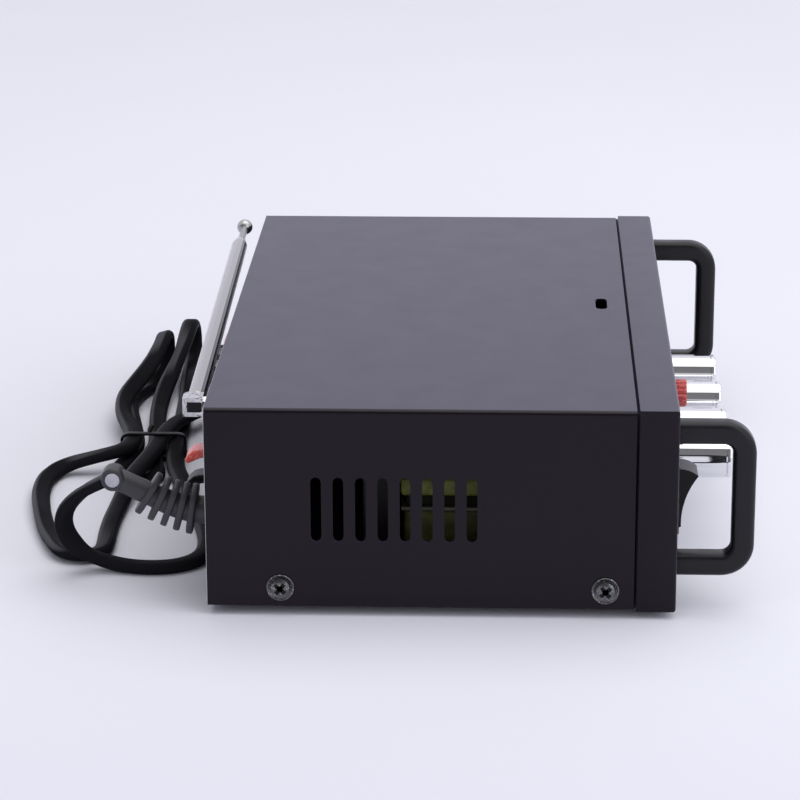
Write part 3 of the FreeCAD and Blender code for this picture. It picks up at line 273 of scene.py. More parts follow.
LEAD = [
    (20.0, 30.6, 35.6), (20.6, 36.9, 32.6), (23.0, 42.0, 28.2), (26.6, 45.6, 23.0), (30.0, 46.9, 17.0),
    (33.0, 45.4, 11.0), (35.2, 41.0, 5.8), (36.0, 34.8, 2.9), (34.8, 27.8, 1.9), (33.8, 20.5, 1.9),
    (35.4, 13.0, 1.9), (40.8, 7.2, 1.9), (49.0, 5.2, 1.9), (61.0, 6.0, 1.9), (75.0, 9.0, 1.9),
    (89.0, 12.8, 1.9), (103.0, 17.0, 1.9),
]
HANK = [
    (116.0, 20.4, 1.9), (129.0, 23.8, 1.9), (142.0, 25.2, 3.0), (157.0, 25.7, 2.2), (180.0, 26.7, 1.9),
    (205.0, 27.8, 1.9), (228.0, 29.4, 1.9), (244.0, 30.3, 1.9), (255.0, 30.6, 1.9), (259.3, 30.8, 6.2),
    (259.3, 31.0, 12.2), (255.0, 31.2, 16.5), (245.0, 31.5, 15.6), (233.0, 32.3, 11.9), (218.0, 34.7, 7.4),
    (203.0, 36.4, 4.1), (186.0, 36.2, 2.2), (167.0, 34.0, 1.9), (154.0, 32.7, 2.2), (142.0, 32.2, 2.9),
    (131.0, 31.2, 2.5), (120.5, 28.7, 1.9), (115.7, 31.1, 1.9), (113.8, 36.1, 1.9), (115.7, 41.2, 1.9),
    (120.5, 43.8, 1.9), (131.0, 41.2, 2.3), (142.0, 39.2, 2.9), (155.0, 40.0, 2.2), (170.0, 42.8, 1.9),
    (186.0, 46.0, 1.9), (199.0, 46.7, 1.9), (211.0, 44.9, 1.9), (221.0, 42.4, 1.9), (230.0, 40.4, 1.9),
    (239.0, 39.6, 1.9), (243.3, 39.4, 6.2), (243.3, 39.2, 12.2), (239.0, 39.2, 16.5), (229.0, 39.6, 15.2),
    (216.0, 41.8, 11.6), (201.0, 45.6, 9.0), (187.0, 48.4, 7.6), (172.0, 46.8, 6.8), (158.0, 42.6, 6.9),
    (147.0, 39.8, 7.1), (138.0, 39.3, 7.1), (131.2, 41.6, 7.1), (127.6, 46.4, 6.9), (126.6, 52.4, 5.6),
    (126.8, 58.6, 3.8), (122.4, 63.4, 2.6), (113.0, 65.4, 1.9), (100.0, 65.0, 1.9), (86.0, 62.6, 1.9),
    (72.0, 59.4, 1.9), (61.0, 56.3, 1.9), (53.0, 53.5, 1.9), (46.9, 51.1, 1.9), (42.9, 47.2, 1.9),
    (42.8, 41.5, 1.9), (46.9, 37.5, 1.9), (54.0, 37.3, 1.9), (64.0, 38.0, 1.9), (74.0, 38.3, 1.9),
    (84.0, 38.1, 1.9), (92.5, 37.5, 2.4), (100.5, 36.5, 4.8), (108.5, 35.2, 6.5), (119.0, 33.0, 6.9),
    (130.0, 31.2, 7.1), (142.0, 30.2, 7.2), (156.0, 28.8, 7.0), (169.0, 25.0, 6.4), (180.0, 19.4, 6.1),
    (189.0, 14.2, 6.1), (196.5, 11.5, 7.0), (204.0, 11.5, 7.0),
]
# Where the twin cord lies tilted: a place in millimetres, a reach round it, and degrees about the line
TILTS = (
    ((187.0, 48.4, 7.6), 34.0, -48.0), ((216.0, 41.8, 11.6), 22.0, -30.0), ((226.0, 34.0, 9.5), 26.0, 40.0),
    ((112.0, 65.4, 1.9), 27.0, -26.0), ((82.0, 61.8, 1.9), 27.0, -26.0), ((50.0, 52.0, 1.9), 25.0, -28.0),
)
CORD_WIDE, CORD_THICK = 0.0062, 0.0036
FLOOR_GAP = 0.0001
LEAST_STEP = 0.0011


def smooth_line(points, fineness):
    """The points that a NURBS curve over the route gives."""
    curve = bpy.data.curves.new("Route", "CURVE")
    curve.dimensions = "3D"
    spline = curve.splines.new("NURBS")
    spline.points.add(len(points) - 1)
    for target, point in zip(spline.points, points):
        target.co = (*point, 1)
    spline.order_u = 3
    spline.use_endpoint_u = True
    spline.resolution_u = fineness
    carrier = bpy.data.objects.new("Route", curve)
    mesh = bpy.data.meshes.new_from_object(carrier)
    line = [vertex.co.copy() for vertex in mesh.vertices]
    bpy.data.objects.remove(carrier)
    return line


def thinned_line(line, least):
    """The line without the points that lie closer than the least step."""
    kept = [line[0]]
    for point in line[1:]:
        if (point - kept[-1]).length >= least:
            kept.append(point)
    kept[-1] = line[-1]
    return kept


def line_ways(line):
    """The line's direction at each of its points."""
    last = len(line) - 1
    return [(line[min(i + 1, last)] - line[max(i - 1, 0)]).normalized() for i in range(last + 1)]


def level_frames(line, tilts=()):
    """The way and a sideways vector at each point: level on the flat, carried on where the line climbs."""
    ways = line_ways(line)
    last = len(line) - 1
    sides = []
    for way in ways:
        level = way.cross(Vector((0, 0, 1)))
        if sides and level.length < 0.7:
            side = (sides[-1] - way * sides[-1].dot(way)).normalized()
        else:
            side = level.normalized()
            if sides and side.dot(sides[-1]) < 0:
                side = -side
        sides.append(side)
    for _ in range(6):
        sides = [(sides[max(i - 1, 0)] + sides[i] * 2 + sides[min(i + 1, last)]).normalized()
                 for i in range(last + 1)]
    frames = []
    for point, way, side in zip(line, ways, sides):
        side = (side - way * side.dot(way)).normalized()
        angle = 0.0
        for centre, radius, degrees in tilts:
            near = max(0.0, 1 - (point - in_frame(centre)).length / (radius / 1000))
            angle += math.radians(degrees) * near * near * (3 - 2 * near)
        frames.append((way, Matrix.Rotation(angle, 3, way) @ side))
    return frames


def twin_profile(wide, thick, steps=11):
    """Two round cores side by side under one skin, with a shallow groove between them."""
    radius = thick / 2
    out = wide / 2 - radius
    core = []
    for step in range(steps + 1):
        angle = math.pi / 2 - math.pi * step / steps
        core.append((out + radius * math.cos(angle), radius * math.sin(angle)))
    groove = []
    for step in range(1, 8):
        place = out * (1 - step / 4)
        groove.append((place, radius * (1 - 0.16 * (0.5 + 0.5 * math.cos(math.pi * place / out)))))
    right_half = core + [(-a, -b) for a, b in groove]
    left_half = [(-a, -b) for a, b in core] + groove
    return right_half + left_half


def cord_rest(point, side):
    """Where the twin cord lies tilted near the floor, it rests on its lower core."""
    least = CORD_THICK / 2 + FLOOR_GAP + (CORD_WIDE - CORD_THICK) / 2 * abs(side.z)
    return point + Vector((0, 0, max(0.0, least - point.z)))


cord_line = thinned_line(smooth_line([in_frame(point) for point in LEAD + HANK], 8), LEAST_STEP)
cord_frames = level_frames(cord_line, TILTS)
lying = [cord_rest(point, side) for point, (way, side) in zip(cord_line, cord_frames)]
cord = sweep("cord", lying, cord_frames, twin_profile(CORD_WIDE, CORD_THICK))

# Materials: one procedural finish each


def shader_node(tree, kind, inputs=(), **settings):
    """A node of a tree, with its settings, and its inputs as values or as links from other nodes."""
    item = tree.nodes.new("ShaderNode" + kind)
    for name, value in settings.items():
        setattr(item, name, value)
    for name, value in dict(inputs).items():
        if isinstance(value, bpy.types.NodeSocket):
            tree.links.new(value, item.inputs[name])
        else:
            item.inputs[name].default_value = value
    return item


def carried(tree, value, start, end, low=0.0, high=1.0, soft=False):
    """A value carried from the range start to end over to the range low to high."""
    inputs = {"Value": value, "From Min": start, "From Max": end, "To Min": low, "To Max": high}
    kind = "SMOOTHSTEP" if soft else "LINEAR"
    return shader_node(tree, "MapRange", inputs, interpolation_type=kind).outputs["Result"]


def mixed(tree, amount, plain, other):
    """One colour where the amount is 0 and the other where it is 1; either may be a link."""
    ends = [tone if isinstance(tone, bpy.types.NodeSocket) else (*tone, 1) for tone in (plain, other)]
    inputs = {"Factor": amount, "A": ends[0], "B": ends[1]}
    return shader_node(tree, "Mix", inputs, data_type="RGBA").outputs["Result"]


def material(name, color, rough, metal=0.0, specular=0.5, vary=0.12, vary_size=40.0, rough_vary=0.08,
             grain=0.0, grain_size=2500.0, stretch=(1, 1, 1), coat=0.0, clear=0.0, fleck=None, painted_sheen=None):
    """Colour drift, uneven gloss and a fine surface grain, with flecks where asked, and a painted sheen
    where asked: a paler tone at flat angles.
    """
    made = bpy.data.materials.new(name)
    made.use_nodes = True
    tree = made.node_tree
    shader = tree.nodes["Principled BSDF"]
    shader.inputs["Metallic"].default_value = metal
    shader.inputs["Specular IOR Level"].default_value = specular
    shader.inputs["Transmission Weight"].default_value = clear
    if coat:
        shader.inputs["Coat Weight"].default_value = coat
        shader.inputs["Coat Roughness"].default_value = 0.08
    place = shader_node(tree, "TexCoord").outputs["Object"]
    scaled = shader_node(tree, "Mapping", {"Vector": place, "Scale": stretch}).outputs["Vector"]

    def noise(size, detail):
        inputs = {"Vector": scaled, "Scale": size, "Detail": detail}
        return shader_node(tree, "TexNoise", inputs).outputs["Fac"]

    darker = [channel * (1 - vary) for channel in color]
    lighter = [min(1, channel * (1 + vary)) for channel in color]
    shade = mixed(tree, carried(tree, noise(vary_size, 4.0), 0.3, 0.7), darker, lighter)
    if fleck:
        fleck_size, fleck_color = fleck
        shade = mixed(tree, carried(tree, noise(fleck_size, 2.0), 0.58, 0.66), shade, fleck_color)
    # Painted sheen: the base colour turns paler where a face is seen at a flat angle
    if painted_sheen:
        facing = shader_node(tree, "LayerWeight", {"Blend": 0.5}).outputs["Facing"]
        shade = mixed(tree, carried(tree, facing, 0.3, 0.8, soft=True), shade, painted_sheen)
    tree.links.new(shade, shader.inputs["Base Color"])
    smoothest, roughest = max(0.02, rough - rough_vary), min(1, rough + rough_vary)
    gloss = carried(tree, noise(vary_size * 3.1, 3.0), 0.3, 0.7, smoothest, roughest)
    tree.links.new(gloss, shader.inputs["Roughness"])
    if grain:
        relief = {"Height": noise(grain_size, 2.0), "Strength": grain, "Distance": 0.0001}
        tree.links.new(shader_node(tree, "Bump", relief).outputs["Normal"], shader.inputs["Normal"])
    return made


# What the case and its panel share, with a painted sheen, a paler and bluer tone at flat angles; and what
# the coil's tapes share
PAINTED = dict(rough=0.3, specular=0.24, vary=0.06, rough_vary=0.02, painted_sheen=(0.042, 0.038, 0.066))
TAPED = dict(grain=0.5, grain_size=700.0, vary=0.35, vary_size=260.0)
LOOKS = {
    "case_paint": dict(color=(0.0034, 0.0008, 0.0046), vary_size=25.0, grain=0.35, grain_size=1400.0,
                       **PAINTED),
    "panel_plastic": dict(color=(0.0036, 0.0012, 0.0048), grain=0.25, grain_size=1800.0, **PAINTED),
    "face_metal": dict(color=(0.02, 0.02, 0.023), rough=0.35, metal=0.6, grain=0.35, grain_size=900.0,
                       stretch=(0.03, 1, 1)),
    "black_plastic": dict(color=(0.0052, 0.0048, 0.0078), rough=0.34, specular=0.3, grain=0.15,
                          grain_size=3000.0),
    "gloss_black": dict(color=(0.0035, 0.0033, 0.005), rough=0.24, specular=0.2, grain=0.05,
                        rough_vary=0.04),
    "rubber_black": dict(color=(0.035, 0.035, 0.04), rough=0.4, specular=0.4, grain=0.3,
                         grain_size=2000.0),
    "steel_bright": dict(color=(0.55, 0.55, 0.57), rough=0.3, metal=1.0, grain=0.15, grain_size=1500.0),
    # The screws' pale flecks are painted glints
    "screw_dark": dict(color=(0.14, 0.14, 0.145), rough=0.26, metal=1.0, grain=0.2,
                       fleck=(1900.0, (0.42, 0.42, 0.43))),
    "chrome_plate": dict(color=(0.84, 0.84, 0.86), rough=0.05, metal=1.0, vary=0.03, rough_vary=0.02,
                         grain=0.015, grain_size=1200.0),
    "shaft_metal": dict(color=(0.62, 0.62, 0.64), rough=0.25, metal=1.0, grain=0.2, grain_size=2000.0),
    "pot_metal": dict(color=(0.5, 0.5, 0.51), rough=0.33, metal=1.0, grain=0.2),
    # The red plastic's pale flecks are painted glints on its grained face
    "red_plastic": dict(color=(0.88, 0.12, 0.1), rough=0.3, coat=0.3, grain=0.6, grain_size=1100.0,
                        fleck=(1300.0, (1.0, 0.36, 0.26))),
    "brass_plate": dict(color=(0.1, 0.1, 0.105), rough=0.3, metal=1.0, grain=0.1),
    "display_glass": dict(color=(0.015, 0.012, 0.012), rough=0.2, coat=0.5, vary_size=300.0),
    "board_green": dict(color=(0.012, 0.09, 0.035), rough=0.35, coat=0.3, grain=0.3, grain_size=700.0,
                        fleck=(900.0, (0.5, 0.42, 0.2))),
    "sink_aluminium": dict(color=(0.55, 0.55, 0.57), rough=0.38, metal=1.0, grain=0.3, grain_size=900.0,
                           stretch=(1, 1, 0.05)),
    "can_sleeve": dict(color=(0.01, 0.012, 0.04), rough=0.25, coat=0.3, vary_size=200.0),
    "core_steel": dict(color=(0.018, 0.018, 0.017), rough=0.5, metal=0.5, grain=0.8, grain_size=1600.0,
                       stretch=(1, 0.02, 0.02)),
    "coil_tape": dict(color=(0.15, 0.165, 0.03), rough=0.45, specular=0.3, **TAPED),
    "cord_vinyl": dict(color=(0.0115, 0.0115, 0.014), rough=0.3, specular=0.003, grain=0.12,
                       grain_size=1500.0, rough_vary=0.05),
    "tie_wire": dict(color=(0.003, 0.003, 0.004), rough=0.35, specular=0.12, grain=0.2),
    "mast_plate": dict(color=(0.405, 0.4, 0.385), rough=0.1, metal=1.0, vary=0.04, rough_vary=0.04,
                       grain=0.03, grain_size=1800.0, stretch=(0.1, 1, 1)),
    "nut_red": dict(color=(0.55, 0.05, 0.05), rough=0.35, coat=0.2, grain=0.6, grain_size=900.0,
                    fleck=(1300.0, (0.06, 0.004, 0.004))),
    "fork_plate": dict(color=(0.55, 0.55, 0.55), rough=0.16, metal=1.0, vary=0.3, vary_size=600.0,
                       grain=0.5, grain_size=1200.0, fleck=(900.0, (0.12, 0.12, 0.12))),
    "tip_plate": dict(color=(0.42, 0.42, 0.425), rough=0.3, metal=1.0, vary=0.1, vary_size=300.0),
    "coil_painted_shade": dict(color=(0.052, 0.055, 0.014), rough=0.5, specular=0.2, **TAPED),
    "coil_dark": dict(color=(0.01, 0.011, 0.003), rough=0.6, specular=0.08, vary=0.3, vary_size=300.0),
    "bobbin_grey": dict(color=(0.042, 0.045, 0.024), rough=0.4, vary=0.45, vary_size=180.0),
    "cap_grey_highlight": dict(color=(0.42, 0.415, 0.46), rough=0.4, vary=0.1, vary_size=300.0),
    "print_white": dict(color=(0.6, 0.6, 0.6), rough=0.5, vary=0.05),
    "white_plastic": dict(color=(0.7, 0.7, 0.68), rough=0.35, grain=0.1),
    "segment": dict(color=(0.05, 0.006, 0.004), rough=0.4, vary=0.3, vary_size=300.0),
    "smoked_window": dict(color=(0.1, 0.02, 0.02), rough=0.06, vary_size=60.0, rough_vary=0.02,
                          clear=0.85),
}
finishes = {name: material(name, **look) for name, look in LOOKS.items()}


def side_tint(made, way, color, start, full):
    """Painted light or shade: another tone on the faces that look one way, none up to the start and all of
    it from full on.
    """
    tree = made.node_tree
    base = tree.nodes["Principled BSDF"].inputs["Base Color"]
    plain = base.links[0].from_socket
    normal = shader_node(tree, "TexCoord").outputs["Normal"]
    facing = shader_node(tree, "VectorMath", {0: normal, 1: way}, operation="DOT_PRODUCT").outputs["Value"]
    tree.links.new(mixed(tree, carried(tree, facing, start, full, soft=True), plain, color), base)


# Painted reflection: the plated tube's side towards the wall is darker, for the case's darkness it would
# show; painted highlight: the cord's outer, upper flank is paler
side_tint(finishes["mast_plate"], (0, -1, 0), (0.022, 0.022, 0.026), 0.46, 0.54)
side_tint(finishes["cord_vinyl"], (0.0, 0.75, 0.66), (0.09, 0.09, 0.1), 0.6, 0.98)
for label, item in nodes.items():
    for holder in item.material_slots:
        holder.material = finishes[slots[label]]


def dress(item, finish, body="case"):
    """Give a piece its finish and the body that it rides on."""
    item.data.materials.clear()
    item.data.materials.append(finishes[finish])
    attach(item, body)
    return item


def stands_for(item, label, finish=None):
    """Dress a piece as the node that it replaces."""
    dress(item, finish or slots[label], body_of[label])
    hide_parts(label)
    return item


# Case: the folded cover keeps its solid; the panel gets round edges and a shadow groove at its seam

GROOVE_DEEP, GROOVE_WIDE = 0.0009, 0.00085
# Corners of a dark plate on the swivel's face, for the painted shade in the fork's opening, in millimetres
FORK_SHADE_PLATE = ((7.14, 1.0, 60.85), (8.8, 5.3, 63.8))


def seam_tool(panel):
    """A ring round the panel's rear edge, as deep and as wide as the groove."""
    heights = [vertex.co.z for vertex in panel.data.vertices]
    low_z, high_z, past = min(heights), max(heights), 0.003
    ring = block("groove", (LEFT_X - past, SEAM_Y - GROOVE_WIDE, low_z - past),
                 (RIGHT_X + past, SEAM_Y + 0.001, high_z + past))
    middle = block("middle", (LEFT_X + GROOVE_DEEP, SEAM_Y - 0.002, low_z + GROOVE_DEEP),
                   (RIGHT_X - GROOVE_DEEP, SEAM_Y + 0.002, high_z - GROOVE_DEEP))
    return cut(ring, middle)


def cover_edge():
    """The cover's cut edge at the rear, as thin bright strips: partly the bare edge, partly a painted
    highlight along it.
    """
    past, thick, inset = 0.0001, 0.0003, 0.00003
    edges = [block("edge", (LEFT_X + past, REAR_Y - past, CASE_TOP - 0.00035),
                   (RIGHT_X - past, REAR_Y + 0.00008, CASE_TOP - inset))]
    out = RIGHT_X - inset
    for low_x, high_x in ((-out, thick - out), (out - thick, out)):
        edges.append(block("edge", (low_x, REAR_Y - past, 0.0036),
                           (high_x, REAR_Y + 0.00012, CASE_TOP - thick)))
    return joined("cover_edge", *edges)


panel = rounded_copy("front_panel", 0.0004, 2)
stands_for(cut(panel, seam_tool(panel)), "front_panel")
for label, width in (("power_switch_housing", 0.0005), ("power_rocker", 0.0005), ("rubber_feet", 0.0006),
                     ("right_speaker_terminals", 0.0005), ("left_speaker_terminals", 0.0005),
                     ("right_red_lever", 0.0007), ("right_black_lever", 0.0007),
                     ("left_red_lever", 0.0007), ("left_black_lever", 0.0007),
                     ("usb_socket", 0.0002), ("card_slot", 0.0002), ("antenna_swivel", 0.0006)):
    stands_for(rounded_copy(label, width), label, "fork_plate" if label == "antenna_swivel" else None)
# Painted shade: a dark plate on the swivel's face where the fork's opening lies in shade
fork_painted_shade = block("fork_painted_shade", in_frame(FORK_SHADE_PLATE[0]), in_frame(FORK_SHADE_PLATE[1]), 0.0001, 1)
dress(fork_painted_shade, "gloss_black", body_of["antenna_swivel"])
# Bright strips on the cover's rear edge: the bare edge and a painted highlight
dress(cover_edge(), "steel_bright")

# Handles: one soft square bar each, bent round two corners

HANDLE_WIDE, HANDLE_THICK, HANDLE_ROUND = 0.0075, 0.0068, 0.0021
HANDLE_LOW, HANDLE_HIGH, HANDLE_REACH, HANDLE_BEND = 0.0141, 0.055, 0.0197, 0.0063


def handle_path(x):
    """The bar's middle line: out of the panel, up along the front and back, with two bends."""
    back, tip, bend = FRONT_Y + 0.0003, FRONT_Y - HANDLE_REACH, HANDLE_BEND
    halfway = (back + tip) / 2
    line = [Vector((x, back, HANDLE_LOW)), Vector((x, halfway, HANDLE_LOW))]
    for centre_z, start in ((HANDLE_LOW + bend, -90), (HANDLE_HIGH - bend, 180)):
        for step in range(13):
            turn = math.radians(start - 90 * step / 12)
            line.append(Vector((x, tip + bend + bend * math.cos(turn), centre_z + bend * math.sin(turn))))
        if start == -90:
            line.append(Vector((x, tip, (HANDLE_LOW + HANDLE_HIGH) / 2)))
    return line + [Vector((x, halfway, HANDLE_HIGH)), Vector((x, back, HANDLE_HIGH))]


handle_profile = soft_rectangle(HANDLE_WIDE, HANDLE_THICK, HANDLE_ROUND, 6)
for label in ("handle_left", "handle_right"):
    line = handle_path(middle_of(label)[0])
    frames = [(way, Vector((1, 0, 0))) for way in line_ways(line)]
    stands_for(sweep(label + "_bar", line, frames, handle_profile), label)

# Knobs: turned and plated, with a groove near the end and a pointer line

KNOB = [(0.001, 0.0), (0.001, 0.0061), (0.0013, 0.0065), (0.0182, 0.0065), (0.01845, 0.00625),
        (0.0187, 0.0065), (0.0195, 0.0065), (0.0199, 0.00635), (0.0202, 0.006), (0.0202, 0.0053),
        (0.02005, 0.005), (0.02005, 0.0)]
# The pointer's corners, from the knob's place on the panel
POINTER = (Vector((-0.00035, -0.02025, 0.0015)), Vector((0.00035, -0.0199, 0.0052)))
joint_spots = {joint["name"]: joint["pos_m"] for joint in record["behaviour"]["joints"] if "pos_m" in joint}
knob_spots = {}
for name in ("treble", "bass", "balance", "volume"):
    x, _, z = joint_spots[name + "_turn"]
    knob_spots[name] = Vector((x, FRONT_Y, z))
for name, spot in knob_spots.items():
    stands_for(lathe(name + "_drum", spot, (0, -1, 0), KNOB, 96, 20.0), name + "_knob")
    pointer = block(name + "_pointer", spot + POINTER[0], spot + POINTER[1], 0.0001, 1)
    dress(pointer, "gloss_black", name + "_control")

# Side screws: a thin flange, a domed head and a cross recess, with black plates deep in it as painted shade

SCREW = [(-0.002, 0.0), (-0.002, 0.00145), (0.0, 0.00145), (0.0, 0.0039), (0.00015, 0.0041),
         (0.00045, 0.0041), (0.0006, 0.00395), (0.00055, 0.00375), (0.0003, 0.00345), (0.00022, 0.0031),
         (0.0006, 0.00295), (0.0011, 0.00275), (0.0015, 0.0022), (0.0017, 0.0013), (0.00175, 0.0)]
SCREW_BACKS, SCREW_HIGH = (0.0217, 0.11765), 0.009
CROSS_OUT, CROSS_LOW, CROSS_TURNS = 0.0011, -0.0009, (40, 49)
# Half sizes along the wall, and how far out each arm goes
CUT_ARMS, CUT_HIGH = ((0.002, 0.00062), (0.00062, 0.002)), 0.003
# Black plates deep in each recess: painted shade
SHADE_ARMS, SHADE_HIGH = ((0.00195, 0.0006), (0.0006, 0.00195), (0.00105, 0.00105)), 0.00035


def cross_arm(name, half_y, half_z, high):
    """One arm of the recess about the screw's axis."""
    return block(name, (CROSS_LOW, -half_y, -half_z), (high, half_y, half_z), 0.0001, 1)


heads, recess_shades = [], []
for side in (-1, 1):
    for depth, degrees in zip(SCREW_BACKS, CROSS_TURNS):
        spot = Vector((side * RIGHT_X, REAR_Y - depth, SCREW_HIGH))
        head = lathe("head", spot, (side, 0, 0), SCREW, 48, 30.0)
        place = (Matrix.Translation(spot + Vector((side * CROSS_OUT, 0, 0)))
                 @ Matrix.Rotation(math.radians(degrees), 4, "X") @ Matrix.Diagonal((side, 1, 1, 1)))
        for half_y, half_z in CUT_ARMS:
            tool = cross_arm("tool", half_y, half_z, CUT_HIGH)
            tool.matrix_world = place
            cut(head, tool)
        for half_y, half_z in SHADE_ARMS:
            dark = cross_arm("dark", half_y, half_z, SHADE_HIGH)
            dark.data.transform(place)
            if side < 0:
                dark.data.flip_normals()
            recess_shades.append(dark)
        heads.append(head)
stands_for(joined("side_screw_heads", *heads), "side_screws")
# Painted shade in the screws' cross recesses
dress(joined("screw_recess_shade", *recess_shades), "gloss_black")

# Ring nut of the jack: a knurled red ring

NUT_LONG, NUT_RADIUS, NUT_BORE, NUT_TEETH, TOOTH_DEEP = 0.0055, 0.0043, 0.003, 14, 0.00055


def knurled_ring(name, origin):
    """A ring along -Y with rounded teeth and bevelled ends."""
    def ring(along, radius, deep=0.0):
        points = []
        for i in range(NUT_TEETH * 8):
            turn = math.tau * i / (NUT_TEETH * 8)
            reach = radius - deep * (0.5 - 0.5 * math.cos(NUT_TEETH * turn)) ** 1.5
            points.append(origin + Vector((reach * math.cos(turn), -along, reach * math.sin(turn))))
        return points

    bevel = 0.0004
    rings = [ring(0.0001, NUT_BORE), ring(0.0001, NUT_RADIUS - bevel, TOOTH_DEEP),
             ring(bevel, NUT_RADIUS, TOOTH_DEEP), ring(NUT_LONG - bevel, NUT_RADIUS, TOOTH_DEEP),
             ring(NUT_LONG, NUT_RADIUS - bevel, TOOTH_DEEP), ring(NUT_LONG, NUT_BORE + 0.0002),
             ring(NUT_LONG - 0.0002, NUT_BORE)]
    return skin(name, rings, capped=False, degrees=40.0)


jack_x, _, jack_z = middle_of("mic_jack_nut")
stands_for(knurled_ring("ring_nut", Vector((jack_x, FRONT_Y, jack_z))), "mic_jack_nut", "nut_red")

# Push buttons: round caps with a soft edge

CAP = [(-0.008, 0.0), (-0.008, 0.0021), (-0.005, 0.0021), (-0.005, 0.0034), (-0.0036, 0.0034),
       (-0.0036, 0.0025), (0.0009, 0.0025), (0.0012, 0.0024), (0.0014, 0.0021), (0.00145, 0.0014),
       (0.00142, 0.0)]
for name in ("mode", "previous", "play", "next"):
    x, _, z = middle_of(name + "_button")
    cap = lathe(name + "_cap", (x, FRONT_Y, z), (0, -1, 0), CAP, 40)
    stands_for(cap, name + "_button", "chrome_plate")

# Transformer: a taped upper winding, a dark waist, the bobbin's flange and the lower winding, its tape
# darker as painted shade

coil_low, coil_high = node_box("transformer_coil")
core_low, core_high = node_box("transformer_core")
CORE_Y = middle_of("transformer_core")[1]
LEG_HALF, WINDING_REAR = 0.0096, 0.017


def winding(name, low, high, inset, width):
    """One layer round the core's leg, drawn in from the solid's sides."""
    layer = block(name, (coil_low[0] + inset, coil_low[1] + inset, low),
                  (coil_high[0] - inset, CORE_Y + WINDING_REAR - inset, high), width, 3)
    leg = block("leg", (core_low[0] - 0.0001, CORE_Y - LEG_HALF, 0.0),
                (core_high[0] + 0.0001, CORE_Y + LEG_HALF, 0.06))
    return cut(layer, leg)


stands_for(winding("coil_top", 0.0347, 0.0404, 0.0, 0.0012), "transformer_coil")
dress(winding("coil_waist", 0.0313, 0.0347, 0.0018, 0.0002), "coil_dark")
dress(winding("coil_flange", 0.0302, 0.0313, 0.0002, 0.0002), "bobbin_grey")
# Painted shade: the lower winding's tape is darker, for the shade low in the case
dress(winding("coil_lower", 0.014, 0.0302, 0.001, 0.0015), "coil_painted_shade")

# Strain relief: a core, five leaning ribs and a round nose with a pale domed disc in each end, its pale
# grey partly a painted highlight

# Places and sizes in millimetres, leans in degrees; the turned profiles are in metres
RELIEF_X, NOSE_REACH = 20.0, 29.5
RIBS, RIB_FROM, RIB_STEP, RIB_LEAN, RIB_LEAN_STEP = 5, 4.9, 3.3, 9.0, 5.6
RIB_WIDE, RIB_TALL, RIB_THICK, RIB_SHRINK = 11.6, 15.6, 2.0, 0.35
# Distance behind the wall, half width and lean
CORE = ((-0.2, 4.4, 0), (3.0, 4.3, 6), (6.0, 4.2, 12), (9.5, 4.0, 17), (13.0, 3.8, 20), (18.5, 3.5, 26),
        (24.0, 3.4, 26), (29.5, 3.3, 26))
NOSE = [(-0.0034, 0.0), (-0.00315, 0.0022), (-0.0034, 0.0025), (-0.0034, 0.003), (-0.0031, 0.0034),
        (-0.0026, 0.0036), (0.0026, 0.0036), (0.0031, 0.0034), (0.0034, 0.003), (0.0034, 0.0025),
        (0.00315, 0.0022), (0.0034, 0.0)]
DISC = [(0.0, 0.0), (0.0, 0.0022), (0.0002, 0.0022), (0.00038, 0.002), (0.0005, 0.0014), (0.00055, 0.0)]


def relief_high(reach):
    """Height of the relief's middle line at a distance behind the wall: a bend, then straight."""
    rise = 0.0145 * reach * reach if reach < 18.3 else 4.86 + 0.48 * (reach - 18.3)
    return 25.8 + rise


def stadium(reach, wide, tall, lean, count=28):
    """An upright outline with round ends, leaning back."""
    centre = in_frame((RELIEF_X, reach, relief_high(reach)))
    half = wide / 2
    straight = tall / 2 - half
    leaning = Matrix.Rotation(math.radians(lean), 3, "X")
    points = []
    for i in range(count):
        turn = math.tau * (i + 0.5) / count
        rise = math.sin(turn) * half + math.copysign(straight, math.sin(turn))
        points.append(centre + leaning @ Vector((math.cos(turn) * half / 1000, 0, rise / 1000)))
    return points


def rib(name, reach, wide, tall, thick, lean):
    """A leaning plate with round edges."""
    edge = 0.45
    soft = edge * 0.3
    back = Matrix.Rotation(math.radians(lean), 3, "X") @ Vector((0, 1, 0))
    rings = []
    for along, inset in ((0.0, edge), (soft, soft), (edge, 0.0), (thick - edge, 0.0), (thick - soft, soft),
                         (thick, edge)):
        ring = stadium(reach, wide - 2 * inset, tall - 2 * inset, lean)
        rings.append([point + back * (along / 1000) for point in ring])
    return skin(name, rings, degrees=50.0)


nose_high = relief_high(NOSE_REACH)
relief = [rib("wall_plate", -0.3, 14.0, 22.4, 1.6, 0),
          skin("core", [stadium(reach, 2 * half, 2 * half + 0.01, lean) for reach, half, lean in CORE])]
for index in range(RIBS):
    shrink = RIB_SHRINK * index
    relief.append(rib("rib", RIB_FROM + RIB_STEP * index, RIB_WIDE - shrink, RIB_TALL - shrink, RIB_THICK,
                      RIB_LEAN + RIB_LEAN_STEP * index))
relief.append(lathe("nose", in_frame((RELIEF_X, NOSE_REACH, nose_high)), (1, 0, 0), NOSE, 48, 25.0))
relief.append(block("inner_block", in_frame((RELIEF_X - 4, -6.1, 20.8)),
                    in_frame((RELIEF_X + 4, -0.1, 30.8)), 0.0006))
stands_for(joined("bend_relief", *relief), "strain_relief")
# The nose's pale grey discs: partly a painted highlight on the nose's ends
for side in (-1, 1):
    spot = in_frame((RELIEF_X + side * 3.1, NOSE_REACH, nose_high))
    dress(lathe("nose_disc", spot, (side, 0, 0), DISC, 40), "cap_grey_highlight")

# Antenna: turned tubes with rolled ends, and a necked rod with a ball

